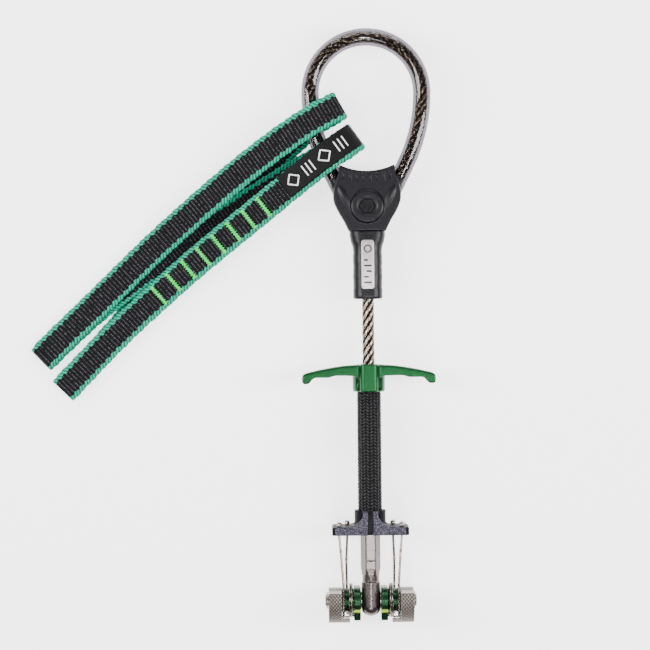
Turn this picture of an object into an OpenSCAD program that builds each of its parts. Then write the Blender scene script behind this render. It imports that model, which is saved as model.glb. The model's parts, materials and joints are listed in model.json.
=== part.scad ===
// Spring loaded camming device: a single-stem climbing cam with four lobes,
// a sliding trigger, a wire thumb loop and a doubled webbing sling.
// It lies flat: X runs along the axle, Y along the stem towards the thumb loop,
// and Z points up. The origin is the middle of the axle.

/* [Lobes] */
// Radius of a lobe at its tip
tip_r = 11.9; // [11.6:0.1:12.2]
// Camming angle of the logarithmic spiral, in degrees
cam_angle = 16; // [15:0.5:17]
// Height of the flat top face of a lobe above the axle
lobe_top = 3.6; // [3.2:0.1:3.7]
// Distance from the stem's axis to an inner lobe
inner_lobe_x = 3.5; // [3.5:0.05:3.6]
// Width of an inner lobe
inner_lobe_w = 2.3; // [2.1:0.1:2.3]
// Distance from the stem's axis to an outer lobe's tread
outer_lobe_x = 9.9; // [9.9:0.05:10]
// Width of an outer lobe's tread
outer_lobe_w = 4.5; // [4:0.1:4.5]
// Turn of a lobe from open to closed, in degrees
lobe_turn = 95; // [90:1:96]

/* [Axle and head] */
// Radius of the axle
axle_r = 1.7; // [1.4:0.05:1.8]
// Distance from the stem's axis to the inner face of an axle's riveted end
rivet_x = 15; // [15:0.1:15.4]
// Half the width of the head terminal between its flats
head_half_w = 3.1; // [2.9:0.05:3.1]
// Half the width of the pressed hexagonal barrel, across its corners
barrel_r = 3.4; // [3.2:0.05:3.4]

/* [Stem and loop] */
// Radius of the wire rope
rope_r = 2.1; // [1.9:0.05:2.1]
// Outer radius of the clear tube on the thumb loop
loop_tube_r = 3; // [2.8:0.1:3.2]
// Radius of the thumb loop's round top, to the rope's centre
loop_top_r = 19; // [18:0.5:20]
// Height of the centre of the loop's round top
loop_top_y = 172.5; // [172:0.5:174]

/* [Trigger] */
// Radius of the braided sheath
sheath_r = 4; // [3.8:0.05:4.1]
// Half the span of the trigger's two arms
trigger_half_span = 22.7; // [21:0.1:24]
// Half the thickness of the trigger's arms
trigger_half_t = 4; // [3:0.1:4.5]
// Half the length of the slider's bar
slider_half_l = 13; // [12.5:0.1:13.5]
// Half the thickness of the slider
slider_half_t = 7; // [6.8:0.1:7.5]

/* [Sling] */
// Width of the webbing
webbing_w = 10; // [9:0.1:10]
// Thickness of the webbing
webbing_t = 1.3; // [1:0.1:1.3]

/* [Hidden] */
$fn = 48;

running = 0.05;      // radial clearance of the axle in the lobes
seat = 0.02;         // radial clearance of pieces that don't move in each other
slide_gap = 0.08;    // radial clearance of the trigger's pieces on the rope
far = 40;            // length of a cutter that goes right through

// Heights along the stem
neck_y = 6.5;
barrel_y = 9.8;
barrel_end_y = 23.8;
rope_start_y = 8;
bar_y = 22.6;
bar_top_y = 25.3;
boss_top_y = 30.7;
sheath_start_y = 27.7;
sheath_end_y = 72.8;
trigger_y = 70.8;
trigger_top_y = 80.2;
ferrule_y = 104;
ferrule_end_y = 124.6;
sleeve_y = 102.3;
sleeve_end_y = 125.5;
rest_y = 125.65;
screw_y = 133.7;

// Cam spiral: the angle is measured from the head's end towards the tread
tip_angle = 108;
toe_angle = -4;
lip_angle = 24;
lip_inner_y = 6.15;
lip_x = 7.2;
spiral_steps = 28;
hub_r = 4.4;
barrel_hub_r = 4.1;
hub_end_x = 5.9;

// Trigger wires: the hole in a lobe swings evenly to both sides of the axle
wire_r = 0.42;
hole_gap = 0.06;
hole_depth = 1.8;
wire_hole_r = 7;
hole_y = -wire_hole_r * sin(lobe_turn / 2);
hole_z = wire_hole_r * cos(lobe_turn / 2);
outer_wire_x = 9.35;
inner_wire_x = 8.15;
outer_stop_x = 10.6;
inner_stop_x = 7.8;
stop_z = 3.3;
stop_r = 0.9;
stop_gap = 0.35;
stop_h = 1.3;
wire_pin_l = 1.7;
elbow_r = 0.5;
wire_swing = wire_hole_r - hole_z;
slot_gap = 0.2;

// Torsion springs
coil_r = 5.6;
spring_wire_r = 0.3;
coil_start_x = 6.2;
coil_pitch = 0.62;
coil_pin_l = 1.5;
coil_pin_gap = 0.1;
spring_pin_angle = 10;

// Wire rope and thumb loop
leg_x = 2.12;
leg_y = 125.8;
leg_tail_y = 115;
shift_y = 106;
leg_top = [13.2, 148];
side_r = 54.7;
side_steps = 8;
top_steps = 12;
side_x = loop_top_r - side_r;
side_angle = asin((loop_top_y - leg_top[1]) / side_r);
tube_start = [3.1, 127.8];
tube_bore_r = rope_r + 0.06;
liner_r = 3.3;

// Sleeve and label plate
ferrule_half_w = 4.6;
ferrule_half_t = 2.75;
sleeve_half_w = 5;
sleeve_half_t = 3.4;
sleeve_flare_half_w = 6.15;
plate_w = 4.25;
plate_y = 105.7;
plate_end_y = 122.3;
plate_t = 0.5;
plate_corner_r = 1;

// Thumb rest
rest_half_t = 4.4;
rest_split = 0.02;
boss_r = 5.7;
boss_t = 0.8;
hex_af = 4.8;
screw_r = 1.45;
screw_head_z = 3;
slot_count = 8;
slot_pitch = 2.27;

// Sling route: x, y, z and the heading of the strand in degrees, as a closed round
sling_route = [
    // upper front strand, from its bight to its fold round the loop
    [-110.6, 84.8, -8.2, 43.5], [-93, 101.6, -7.5, 43.5], [-70.9, 122.6, -6.1, 41.5],
    [-46.1, 143.6, -1.4, 37], [-30.5, 155.2, 2.5, 34], [-18.6, 162.9, 4.3, 30.5],
    [-11.8, 166.7, 3.1, 29], [-9, 168.2, 0, 29],
    // back under the loop to the lower bight
    [-11.8, 166.7, -3.2, 30], [-18.8, 162.6, -5.6, 35], [-34, 149, -9.1, 41],
    [-52, 134.2, -10.5, 45.5], [-72, 108.6, -10.6, 49], [-90, 87.8, -10.5, 47.5],
    [-102.8, 74.3, -10.4, 47.5], [-104.8, 72.2, -9.35, 46],
    // lower front strand, from its bight to its fold
    [-103, 74.1, -8.3, 45.5], [-83.5, 93.6, -7.8, 44], [-61.7, 113, -6, 40],
    [-39.5, 130.6, -1.4, 38], [-25.5, 141.4, 3, 37.5], [-13.8, 150.3, 5.6, 36.5],
    [-6.5, 155.5, 4.2, 35.5], [-3.6, 157.6, 0, 35.5],
    // back under the loop to the upper bight
    [-6.6, 155.5, -3, 34], [-14.4, 150.9, -4.1, 32], [-30, 142, -6.4, 32.5],
    [-50, 129.6, -8.9, 34.5], [-70, 116.6, -9.1, 36], [-92, 101.2, -9.2, 40],
    [-104, 90.7, -10.2, 42.5], [-110.4, 84.6, -10.4, 43], [-112.3, 82.8, -9.3, 43.5]
];
sling_steps = 6;
// each bar tack's place along the route, an even 6.8 mm apart
tack_places = [17.55, 17.782, 18.016, 18.248, 18.477, 18.711, 18.961, 19.3];
tack_w = 8;
tack_t = 0.35;
lap_from = 17.3;
lap_to = 19.6;
label_from = 19.85;
label_to = 22.6;
label_t = 0.4;
label_gap = 0.02;
lap_gap = 0.03;

// Colours
steel = [0.62, 0.6, 0.58];
raw_aluminium = [0.6, 0.58, 0.56];
green_anodised = [0.2, 0.45, 0.28];
purple_black = [0.2, 0.18, 0.24];
black = [0.08, 0.08, 0.09];
clear_plastic = [0.66, 0.63, 0.67];
webbing_black = [0.1, 0.1, 0.11];
tack_green = [0.36, 0.94, 0.44];

// A shape drawn in the Y-Z plane, given thickness along X from x0
module along_x(x0, w) {
    translate([x0, 0, 0]) rotate([90, 0, 90]) linear_extrude(w) children();
}

// Anything built up from z = 0, stood along Y from y0
module along_y(y0) {
    translate([0, y0, 0]) rotate([-90, 0, 0]) children();
}

module mirror_x(on) {
    mirror([on ? 1 : 0, 0, 0]) children();
}

module rod(a, b, r) {
    d = b - a;
    translate(a) rotate([0, acos(d[2] / norm(d)), atan2(d[1], d[0])]) cylinder(h = norm(d), r = r);
}

module stadium(half_w, half_t) {
    square([2 * (half_w - half_t), 2 * half_t], center = true);
    for (s = [-1, 1]) translate([s * (half_w - half_t), 0]) circle(half_t);
}

module ring(r_out, r_in, h) {
    difference() {
        cylinder(h = h, r = r_out);
        translate([0, 0, -1]) cylinder(h = h + 2, r = r_in);
    }
}

// ---- Head and axle

module axle_bore(r) {
    translate([-far / 2, 0, 0]) rotate([0, 90, 0]) cylinder(h = far, r = r);
}

module head_terminal() {
    head_r = 3.5;
    ball_y = -1.9;
    neck_r = 2.8;
    neck_end_r = 2.95;
    color(steel) difference() {
        union() {
            intersection() {
                along_y(ball_y) union() {
                    sphere(head_r);
                    cylinder(h = neck_y - ball_y, r = head_r);
                }
                translate([-head_half_w, neck_y - far, -far / 2]) cube([2 * head_half_w, far, far]);
            }
            along_y(neck_y) cylinder(h = barrel_end_y - neck_y - 1, r1 = neck_r, r2 = neck_end_r);
            along_y(barrel_y) cylinder(h = barrel_end_y - barrel_y, r = barrel_r, $fn = 6);
        }
        axle_bore(axle_r + seat);
        along_y(rope_start_y - 0.1) cylinder(h = far, r = rope_r + seat);
    }
}

module axle() {
    rivet_t = 0.6;
    rivet_r = 2.1;
    color(steel) {
        translate([-rivet_x - 0.1, 0, 0]) rotate([0, 90, 0]) cylinder(h = 2 * rivet_x + 0.2, r = axle_r);
        for (s = [0, 1]) mirror_x(s) translate([rivet_x, 0, 0]) rotate([0, 90, 0])
            cylinder(h = rivet_t, r = rivet_r);
    }
}

module axle_washers() {
    inner_gap = 0.05;
    outer_gap = 0.08;
    color(steel) for (s = [0, 1]) mirror_x(s) {
        translate([head_half_w + inner_gap, 0, 0]) rotate([0, 90, 0]) ring(3, axle_r + seat, 0.3);
        translate([outer_lobe_x + outer_lobe_w + outer_gap, 0, 0]) rotate([0, 90, 0])
            ring(2.9, axle_r + seat, 0.45);
    }
}

// ---- Lobes

function spiral_r(a) = tip_r * exp(-tan(cam_angle) * (tip_angle - a) * PI / 180);
function spiral_point(a) = spiral_r(a) * [-cos(a), sin(a)];

// Outline in the Y-Z plane: spiral tread and flat top face
module lobe_outline() {
    polygon(concat(
        [for (i = [0 : spiral_steps]) spiral_point(toe_angle + (tip_angle - toe_angle) * i / spiral_steps)],
        [[lobe_top, -1.2], [1.5, -4]]
    ));
}

// A lobe's plate from x0, with its round hub
module lobe_plate(x0, w) {
    along_x(x0, w) lobe_outline();
    translate([x0, 0, 0]) rotate([0, 90, 0]) cylinder(h = w, r = hub_r);
}

module lip_outline() {
    lip_steps = 8;
    polygon(concat(
        [for (i = [0 : lip_steps]) spiral_point(toe_angle + (lip_angle - toe_angle) * i / lip_steps)],
        [[-lip_inner_y, spiral_point(lip_angle)[1]], [-lip_inner_y, spiral_point(toe_angle)[1]]]
    ));
}

function on_circle(r, a) = [-r * cos(a), r * sin(a)];

module x_hole(x0, l, at, r) {
    translate([x0, at[0], at[1]]) rotate([0, 90, 0]) cylinder(h = l, r = r);
}

module outer_lobe() {
    color(green_anodised) difference() {
        union() {
            lobe_plate(outer_lobe_x, outer_lobe_w);
            along_x(lip_x, outer_lobe_x - lip_x) lip_outline();
            translate([hub_end_x, 0, 0]) rotate([0, 90, 0])
                cylinder(h = outer_lobe_x - hub_end_x + 0.5, r = barrel_hub_r);
        }
        axle_bore(axle_r + running);
        x_hole(outer_lobe_x - 1, 1 + hole_depth, [hole_y, hole_z], wire_r + hole_gap);
        x_hole(outer_lobe_x - 1, 1 + hole_depth, on_circle(coil_r, spring_pin_angle), spring_wire_r + coil_pin_gap);
    }
}

module inner_lobe() {
    color(green_anodised) mirror([0, 0, 1]) difference() {
        lobe_plate(inner_lobe_x, inner_lobe_w);
        axle_bore(axle_r + running);
        face_x = inner_lobe_x + inner_lobe_w;
        x_hole(face_x - hole_depth, 2 * hole_depth, [hole_y, hole_z], wire_r + hole_gap);
        x_hole(face_x - hole_depth, 2 * hole_depth, on_circle(coil_r, spring_pin_angle), spring_wire_r + coil_pin_gap);
    }
}

// ---- Torsion springs

function unit(v) = v / norm(v);
function xyz(p) = [p[0], p[1], p[2]];

// Rings of points round a path, each square to the path, given a direction aside at each point
function rings_along(path, aside, r, sides) = [
    for (i = [0 : len(path) - 1])
        let (
            run = unit(path[min(i + 1, len(path) - 1)] - path[max(i - 1, 0)]),
            b = unit(cross(run, aside[i])), a = cross(b, run)
        ) [for (k = [0 : sides - 1]) path[i] + r * (cos(360 * k / sides) * a + sin(360 * k / sides) * b)]
];

module tube_mesh(rings, sides) {
    n = len(rings);
    polyhedron(
        points = [for (ring_points = rings) each ring_points],
        faces = concat(
            [[for (k = [0 : sides - 1]) k]],
            [for (i = [0 : n - 2], k = [0 : sides - 1])
                [i * sides + k, (i + 1) * sides + k, (i + 1) * sides + (k + 1) % sides, i * sides + (k + 1) % sides]],
            [[for (k = [0 : sides - 1]) n * sides - 1 - k]]
        )
    );
}

// Place and outward direction on the coil after a turn by a
function coil_point(x, a) =
    let (t = 180 + spring_pin_angle + a) [x, coil_r * cos(t), coil_r * sin(t)];
function coil_aside(a) = let (t = 180 + spring_pin_angle + a) [0, cos(t), sin(t)];

module torsion_spring() {
    sides = 8;
    steps = 44;
    bend = 9;
    corner = 0.4;
    sweep = 720 - 2 * spring_pin_angle;
    end_x = coil_start_x + coil_pitch * sweep / 360;
    turns = [for (i = [0 : steps]) bend + (sweep - 2 * bend) * i / steps];
    angles = concat([0, 0, 2], turns, [sweep - 2, sweep, sweep]);
    xs = concat(
        [inner_lobe_x + inner_lobe_w - coil_pin_l, coil_start_x - corner, coil_start_x - 0.1],
        [for (t = turns) coil_start_x + coil_pitch * t / 360],
        [end_x + 0.1, end_x + corner, outer_lobe_x + coil_pin_l]
    );
    path = [for (i = [0 : len(xs) - 1]) coil_point(xs[i], angles[i])];
    color(steel) tube_mesh(rings_along(path, [for (a = angles) coil_aside(a)], spring_wire_r, sides), sides);
}

// ---- Trigger wires

// Path of a wire: its pin in the lobe, a tight elbow, a bend half way and its end above the slider
function wire_path(pin_x, wire_x, bend, stop_x) =
    let (side = sign(pin_x - wire_x), centre = [wire_x + side * elbow_r, hole_y + elbow_r])
    concat(
        [[pin_x, hole_y, hole_z]],
        [for (a = [0 : 30 : 90]) [centre[0] - side * elbow_r * sin(a), centre[1] - elbow_r * cos(a), hole_z]],
        [[wire_x, 6, hole_z], bend, [stop_x, 22, stop_z], [stop_x, bar_top_y + stop_gap + stop_h, stop_z]]
    );

module trigger_wire(path) {
    color(steel) tube_mesh(rings_along(path, [for (p = path) [0, 0, 1]], wire_r, 12), 12);
}

module outer_wire() {
    trigger_wire(wire_path(outer_lobe_x + wire_pin_l, outer_wire_x, [10.1, 16.6, 3.9], outer_stop_x));
}

module inner_wire() {
    mirror([0, 0, 1])
        trigger_wire(wire_path(inner_lobe_x + inner_lobe_w - wire_pin_l, inner_wire_x, [8.2, 13.5, 4.2], inner_stop_x));
}

// Stop crimped on the end of a wire, above the slider
module wire_stop(x, side) {
    color(steel) translate([x, bar_top_y + stop_gap, side * stop_z]) rotate([-90, 0, 0])
        ring(stop_r, wire_r + seat, stop_h - 0.15);
}

// ---- Slider, sheath and trigger

module wire_slot(x, side) {
    half_w = wire_r + slot_gap;
    low = stop_z - wire_r - slot_gap;
    high = stop_z + wire_swing + wire_r + slot_gap;
    translate([x - half_w, bar_y - 1, side > 0 ? low : -high]) cube([2 * half_w, 6, high - low]);
}

module slider_fin_outline() {
    fin_r = 5.6;
    fin_x = 7.9;
    difference() {
        translate([-fin_x, bar_y]) square([2 * fin_x, boss_top_y - bar_y]);
        for (s = [-1, 1]) translate([s * fin_x, bar_top_y + fin_r]) circle(fin_r);
    }
}

module slider() {
    boss_r_top = 5.3;
    groove_w = 1.9;
    chamfer = 1;
    color(purple_black) difference() {
        union() {
            translate([0, 0, -slider_half_t]) linear_extrude(2 * slider_half_t) {
                polygon([
                    [-slider_half_l, bar_y], [slider_half_l, bar_y], [slider_half_l, bar_top_y - 0.3],
                    [slider_half_l - 0.5, bar_top_y], [0.5 - slider_half_l, bar_top_y], [-slider_half_l, bar_top_y - 0.3]
                ]);
                slider_fin_outline();
            }
            along_y(bar_y) cylinder(h = boss_top_y - bar_y, r = boss_r_top);
            along_y(bar_top_y - 0.5) cylinder(h = 2, r1 = 6.3, r2 = boss_r_top);
        }
        for (front = [-1, 1], s = [-1, 1])
            translate([s * slider_half_l, 0, front * slider_half_t]) rotate([-90, 0, 0])
                cylinder(h = 60, r = chamfer, $fn = 4);
        for (front = [-1, 1])
            translate([-groove_w / 2, bar_y - 1, front > 0 ? boss_r_top - 0.3 : -boss_r_top - 2.7]) cube([groove_w, 12, 3]);
        along_y(bar_y - 1) cylinder(h = 12, r = rope_r + slide_gap);
        along_y(bar_y - 1) cylinder(h = barrel_end_y - bar_y + 1.2, r = barrel_r + 0.1);
        along_y(sheath_start_y) cylinder(h = 12, r = sheath_r + seat);
        for (s = [-1, 1]) {
            wire_slot(s * outer_stop_x, 1);
            wire_slot(s * inner_stop_x, -1);
        }
    }
}

module braided_sheath() {
    color(black) along_y(sheath_start_y + seat) ring(sheath_r, liner_r + seat, sheath_end_y - sheath_start_y - 2 * seat);
}

module sheath_liner() {
    color(clear_plastic) along_y(sheath_start_y + seat)
        ring(liner_r, rope_r + 0.1, sheath_end_y - sheath_start_y - 2 * seat);
}

// Right half of the trigger's front outline: a drooping arm with a hooked tip
function trigger_arm() = let (tip = trigger_half_span) [
    [0, 76.3], [6.2, 76.3], [11.5, 76.4], [12.5, 76.05], [13.5, 75.72], [18.3, 75.75], [19.2, 75.2],
    [tip - 2.8, 74.1], [tip - 2.1, 73.65], [tip - 0.8, 73.6], [tip - 0.25, 73.9], [tip, 74.6],
    [tip, 76], [tip - 0.35, 76.8], [tip - 1.5, 77.35], [17, 78.35], [12, 79.3], [8, 79.85], [6, 80], [0, 80]
];

module trigger_bar() {
    boss_half_w = 5.5;
    column_half_w = 3.05;
    column_half_t = 6;
    color(green_anodised) difference() {
        union() {
            for (s = [0, 1]) mirror_x(s) translate([0, 0, -trigger_half_t])
                linear_extrude(2 * trigger_half_t) polygon(trigger_arm());
            along_y(trigger_y) cylinder(h = trigger_top_y - trigger_y, r = boss_half_w);
            translate([-column_half_w, trigger_y, -column_half_t])
                cube([2 * column_half_w, trigger_top_y - trigger_y, 2 * column_half_t]);
        }
        along_y(trigger_y - 1) cylinder(h = 12, r = rope_r + slide_gap);
        along_y(trigger_y - 1) cylinder(h = sheath_end_y - trigger_y + 1, r = sheath_r + seat);
    }
}

// ---- Wire rope and thumb loop

function mirrored(path) = [for (i = [len(path) - 1 : -1 : 0]) [-path[i][0], path[i][1], path[i][2]]];

// Right half of the loop from a point on its straight leg to the middle of the round top
function half_loop(start) = concat(
    [[start[0], start[1], 0]],
    [for (i = [0 : side_steps]) let (a = -side_angle + side_angle * i / side_steps)
        [side_x + side_r * cos(a), loop_top_y + side_r * sin(a), 0]],
    [for (i = [1 : top_steps]) let (a = 90 * i / top_steps)
        loop_top_r * [cos(a), sin(a), 0] + [0, loop_top_y, 0]]
);

// The loop's path, round from one leg to the other
function whole_loop(start) =
    let (half = half_loop(start), n = len(half))
    concat(half, mirrored([for (i = [0 : n - 2]) half[i]]));

function flat_rings(path, r, sides) = rings_along(path, [for (p = path) [0, 0, 1]], r, sides);

// One rope: the stem, a shift to one side inside the ferrule, the loop, and the tail beside it
module wire_rope() {
    sides = 24;
    path = concat(
        [[0, rope_start_y, 0], [0, shift_y, 0], [leg_x, leg_tail_y - 1, 0], [leg_x, leg_y - 0.6, 0]],
        whole_loop([leg_x + 0.3, leg_y + 0.6]),
        [[-leg_x, leg_y - 0.6, 0], [-leg_x, leg_tail_y + 0.5, 0]]
    );
    color(steel) tube_mesh(flat_rings(path, rope_r, sides), sides);
}

// A hollow tube: its outer and inner rings joined at both ends
module hollow_tube_mesh(outer, inner, sides) {
    n = len(outer);
    last = n - 1;
    polyhedron(
        points = concat([for (ring_points = outer) each ring_points], [for (ring_points = inner) each ring_points]),
        faces = concat(
            [for (i = [0 : n - 2], k = [0 : sides - 1])
                [i * sides + k, (i + 1) * sides + k, (i + 1) * sides + (k + 1) % sides, i * sides + (k + 1) % sides]],
            [for (i = [0 : n - 2], k = [0 : sides - 1]) let (m = n + i)
                [m * sides + (k + 1) % sides, (m + 1) * sides + (k + 1) % sides, (m + 1) * sides + k, m * sides + k]],
            [for (k = [0 : sides - 1])
                [k, (k + 1) % sides, n * sides + (k + 1) % sides, n * sides + k]],
            [for (k = [0 : sides - 1]) [
                last * sides + (k + 1) % sides, last * sides + k,
                (n + last) * sides + k, (n + last) * sides + (k + 1) % sides
            ]]
        )
    );
}

module loop_tube() {
    sides = 20;
    path = whole_loop(tube_start);
    color(clear_plastic, 0.5)
        hollow_tube_mesh(flat_rings(path, loop_tube_r, sides), flat_rings(path, tube_bore_r, sides), sides);
}

// Oval ferrule round the two legs of the rope
module ferrule() {
    color(raw_aluminium) difference() {
        along_y(ferrule_y) linear_extrude(ferrule_end_y - ferrule_y) stadium(ferrule_half_w, ferrule_half_t);
        along_y(ferrule_y - 1) cylinder(h = 5, r = rope_r + seat);
        along_y(shift_y - 0.4) linear_extrude(30) stadium(leg_x + rope_r + 2 * seat, rope_r + seat);
    }
}

module ferrule_sleeve() {
    color(black) difference() {
        union() {
            along_y(sleeve_y) linear_extrude(sleeve_end_y - sleeve_y) stadium(sleeve_half_w, sleeve_half_t);
            intersection() {
                along_y(sleeve_y) linear_extrude(sleeve_end_y - sleeve_y) stadium(sleeve_flare_half_w, sleeve_half_t);
                translate([0, 0, -10]) linear_extrude(20) polygon([
                    [4.5, sleeve_end_y], [-4.5, sleeve_end_y], [-sleeve_flare_half_w, sleeve_end_y],
                    [-sleeve_flare_half_w, 124], [-sleeve_half_w + 0.2, 119.6],
                    [sleeve_half_w - 0.2, 119.6], [sleeve_flare_half_w, 124], [sleeve_flare_half_w, sleeve_end_y]
                ]);
            }
        }
        along_y(ferrule_y) linear_extrude(40) stadium(ferrule_half_w + seat, ferrule_half_t + seat);
        along_y(sleeve_y - 1) cylinder(h = 10, r = rope_r + seat);
    }
}

module label_plate() {
    inset = plate_w / 2 - plate_corner_r;
    color(steel) translate([0, 0, sleeve_half_t + seat]) linear_extrude(plate_t) {
        for (x = [-inset, inset], y = [plate_y + plate_corner_r, plate_end_y - plate_corner_r])
            translate([x, y]) circle(plate_corner_r);
        translate([-plate_w / 2, plate_y + plate_corner_r])
            square([plate_w, plate_end_y - plate_y - 2 * plate_corner_r]);
        translate([-inset, plate_y]) square([2 * inset, plate_end_y - plate_y]);
    }
}

// ---- Thumb rest

module rest_outline() {
    top_r = 21;
    difference() {
        polygon([
            [-6.2, rest_y], [6.2, rest_y], [8, 129], [10.1, 132.4], [11.5, 135.8], [11.5, 138.6],
            [10.6, 142], [9.7, 145], [9.3, 148], [8.9, 148.5], [-8.9, 148.5], [-9.3, 148], [-9.7, 145],
            [-10.6, 142], [-11.5, 138.6], [-11.5, 135.8], [-10.1, 132.4], [-8, 129]
        ]);
        translate([0, 145.7 + top_r]) circle(top_r, $fn = 120);
    }
}

// Point on the straight leg of the loop, from 0 at the tube's end to 1 at the leg's top
function on_leg(t) =
    let (start = [tube_start[0], tube_start[1], 0], end = [leg_top[0], leg_top[1], 0])
    start + (end - start) * t;

module hexagon_bar(af, h) {
    cylinder(h = h, r = af / 2 / cos(30), $fn = 6);
}

// Front half; the back half is its mirror image without the grip slots
module rest_half(with_slots) {
    color(black) difference() {
        union() {
            translate([0, 0, rest_split]) linear_extrude(rest_half_t - rest_split) rest_outline();
            translate([0, screw_y, rest_split]) cylinder(h = rest_half_t + boss_t, r = boss_r);
        }
        for (s = [0, 1]) mirror_x(s) {
            rod(on_leg(-0.03), on_leg(1.15), loop_tube_r + 2 * seat);
            rod(on_leg(-0.2), on_leg(0), rope_r + 3 * seat);
        }
        translate([0, screw_y, -1]) cylinder(h = 10, r = screw_r + seat);
        translate([0, screw_y, screw_head_z]) hexagon_bar(hex_af, 10);
        if (with_slots) for (i = [0 : slot_count - 1])
            translate([(i - (slot_count - 1) / 2) * slot_pitch - 0.35, 142, rest_half_t - 0.5]) cube([0.7, 3, 2]);
    }
}

module thumb_rest_front() {
    rest_half(true);
}

module thumb_rest_back() {
    mirror([0, 0, 1]) rest_half(false);
}

module thumb_rest_screw() {
    head_af = hex_af - 0.1;
    color(steel) translate([0, screw_y, 0]) {
        translate([0, 0, -screw_head_z - 1.9]) cylinder(h = 2 * screw_head_z + 2, r = screw_r);
        difference() {
            translate([0, 0, screw_head_z + seat]) hexagon_bar(head_af, 2);
            translate([0, 0, screw_head_z + 1]) hexagon_bar(2.5, 2);
        }
    }
}

module thumb_rest_nut() {
    color(steel) translate([0, screw_y, -screw_head_z - 2 - seat]) difference() {
        hexagon_bar(hex_af - 0.1, 2);
        translate([0, 0, -1]) cylinder(h = 4, r = screw_r + seat);
    }
}

// ---- Sling

function knot(a, b) = sqrt(max(norm([b[0] - a[0], b[1] - a[1], b[2] - a[2]]), 0.000001));

// Point between p1 and p2 on a smooth curve through four neighbours
function curve_point(p0, p1, p2, p3, u) =
    let (
        t0 = 0, t1 = knot(p0, p1), t2 = t1 + knot(p1, p2), t3 = t2 + knot(p2, p3), t = t1 + (t2 - t1) * u,
        a1 = (t1 - t) / (t1 - t0) * p0 + (t - t0) / (t1 - t0) * p1,
        a2 = (t2 - t) / (t2 - t1) * p1 + (t - t1) / (t2 - t1) * p2,
        a3 = (t3 - t) / (t3 - t2) * p2 + (t - t2) / (t3 - t2) * p3,
        b1 = (t2 - t) / (t2 - t0) * a1 + (t - t0) / (t2 - t0) * a2,
        b2 = (t3 - t) / (t3 - t1) * a2 + (t - t1) / (t3 - t1) * a3
    ) (t2 - t) / (t2 - t1) * b1 + (t - t1) / (t2 - t1) * b2;

// Place on the sling's round, where whole numbers are the route's own points
function sling_at(u) =
    let (n = len(sling_route), v = (u % n + n) % n, i = floor(v))
    curve_point(sling_route[(i + n - 1) % n], sling_route[i], sling_route[(i + 1) % n],
        sling_route[(i + 2) % n], v - i);

// Four corners of a strip's section at u, between two heights off the webbing's middle
function strip_section(u, w, low, high) =
    let (
        p = sling_at(u), run = xyz(sling_at(u + 0.02)) - xyz(sling_at(u - 0.02)),
        across = [-sin(p[3]), cos(p[3]), 0], up = cross(run, across) / norm(cross(run, across)), c = xyz(p)
    ) [c - across * w / 2 + up * low, c + across * w / 2 + up * low,
        c + across * w / 2 + up * high, c - across * w / 2 + up * high];

// An open strip along part of the round
module strip(from, to, w, low, high) {
    steps = ceil((to - from) * sling_steps);
    tube_mesh([for (i = [0 : steps]) strip_section(from + (to - from) * i / steps, w, low, high)], 4);
}

module sling_webbing() {
    n = len(sling_route) * sling_steps;
    half_t = webbing_t / 2;
    color(webbing_black) {
        polyhedron(
            points = [for (i = [0 : n - 1]) each strip_section(i / sling_steps, webbing_w, -half_t, half_t)],
            faces = [for (i = [0 : n - 1], k = [0 : 3])
                [4 * i + k, 4 * ((i + 1) % n) + k, 4 * ((i + 1) % n) + (k + 1) % 4, 4 * i + (k + 1) % 4]]
        );
        strip(lap_from, lap_to, webbing_w, -half_t - lap_gap - webbing_t, -half_t - lap_gap);
    }
}

module sling_bar_tacks() {
    half_l = 0.035;
    low = webbing_t / 2 + label_gap;
    color(tack_green) for (u = tack_places) strip(u - half_l, u + half_l, tack_w, low, low + tack_t);
}

module sling_label() {
    color(black) strip(label_from, label_to, webbing_w, webbing_t / 2 + label_gap, webbing_t / 2 + label_gap + label_t);
}

head_terminal();
axle();
axle_washers();
wire_rope();
loop_tube();
ferrule();
ferrule_sleeve();
label_plate();
thumb_rest_front();
thumb_rest_back();
thumb_rest_screw();
thumb_rest_nut();
slider();
braided_sheath();
sheath_liner();
trigger_bar();
mirror_x(1) outer_lobe();  // lobe_outer_left
mirror_x(1) inner_lobe();  // lobe_inner_left
inner_lobe();  // lobe_inner_right
outer_lobe();  // lobe_outer_right
mirror_x(1) torsion_spring();  // spring_left
torsion_spring();  // spring_right
mirror_x(1) outer_wire();  // wire_outer_left
mirror_x(1) inner_wire();  // wire_inner_left
inner_wire();  // wire_inner_right
outer_wire();  // wire_outer_right
wire_stop(-outer_stop_x, 1);  // stop_outer_left
wire_stop(-inner_stop_x, -1);  // stop_inner_left
wire_stop(inner_stop_x, -1);  // stop_inner_right
wire_stop(outer_stop_x, 1);  // stop_outer_right
sling_webbing();
sling_bar_tacks();
sling_label();
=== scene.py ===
# A spring loaded camming device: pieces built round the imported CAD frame, in its own axes.
import json
from math import acos, asin, cos, exp, pi, radians, sin, sqrt, tan

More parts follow.
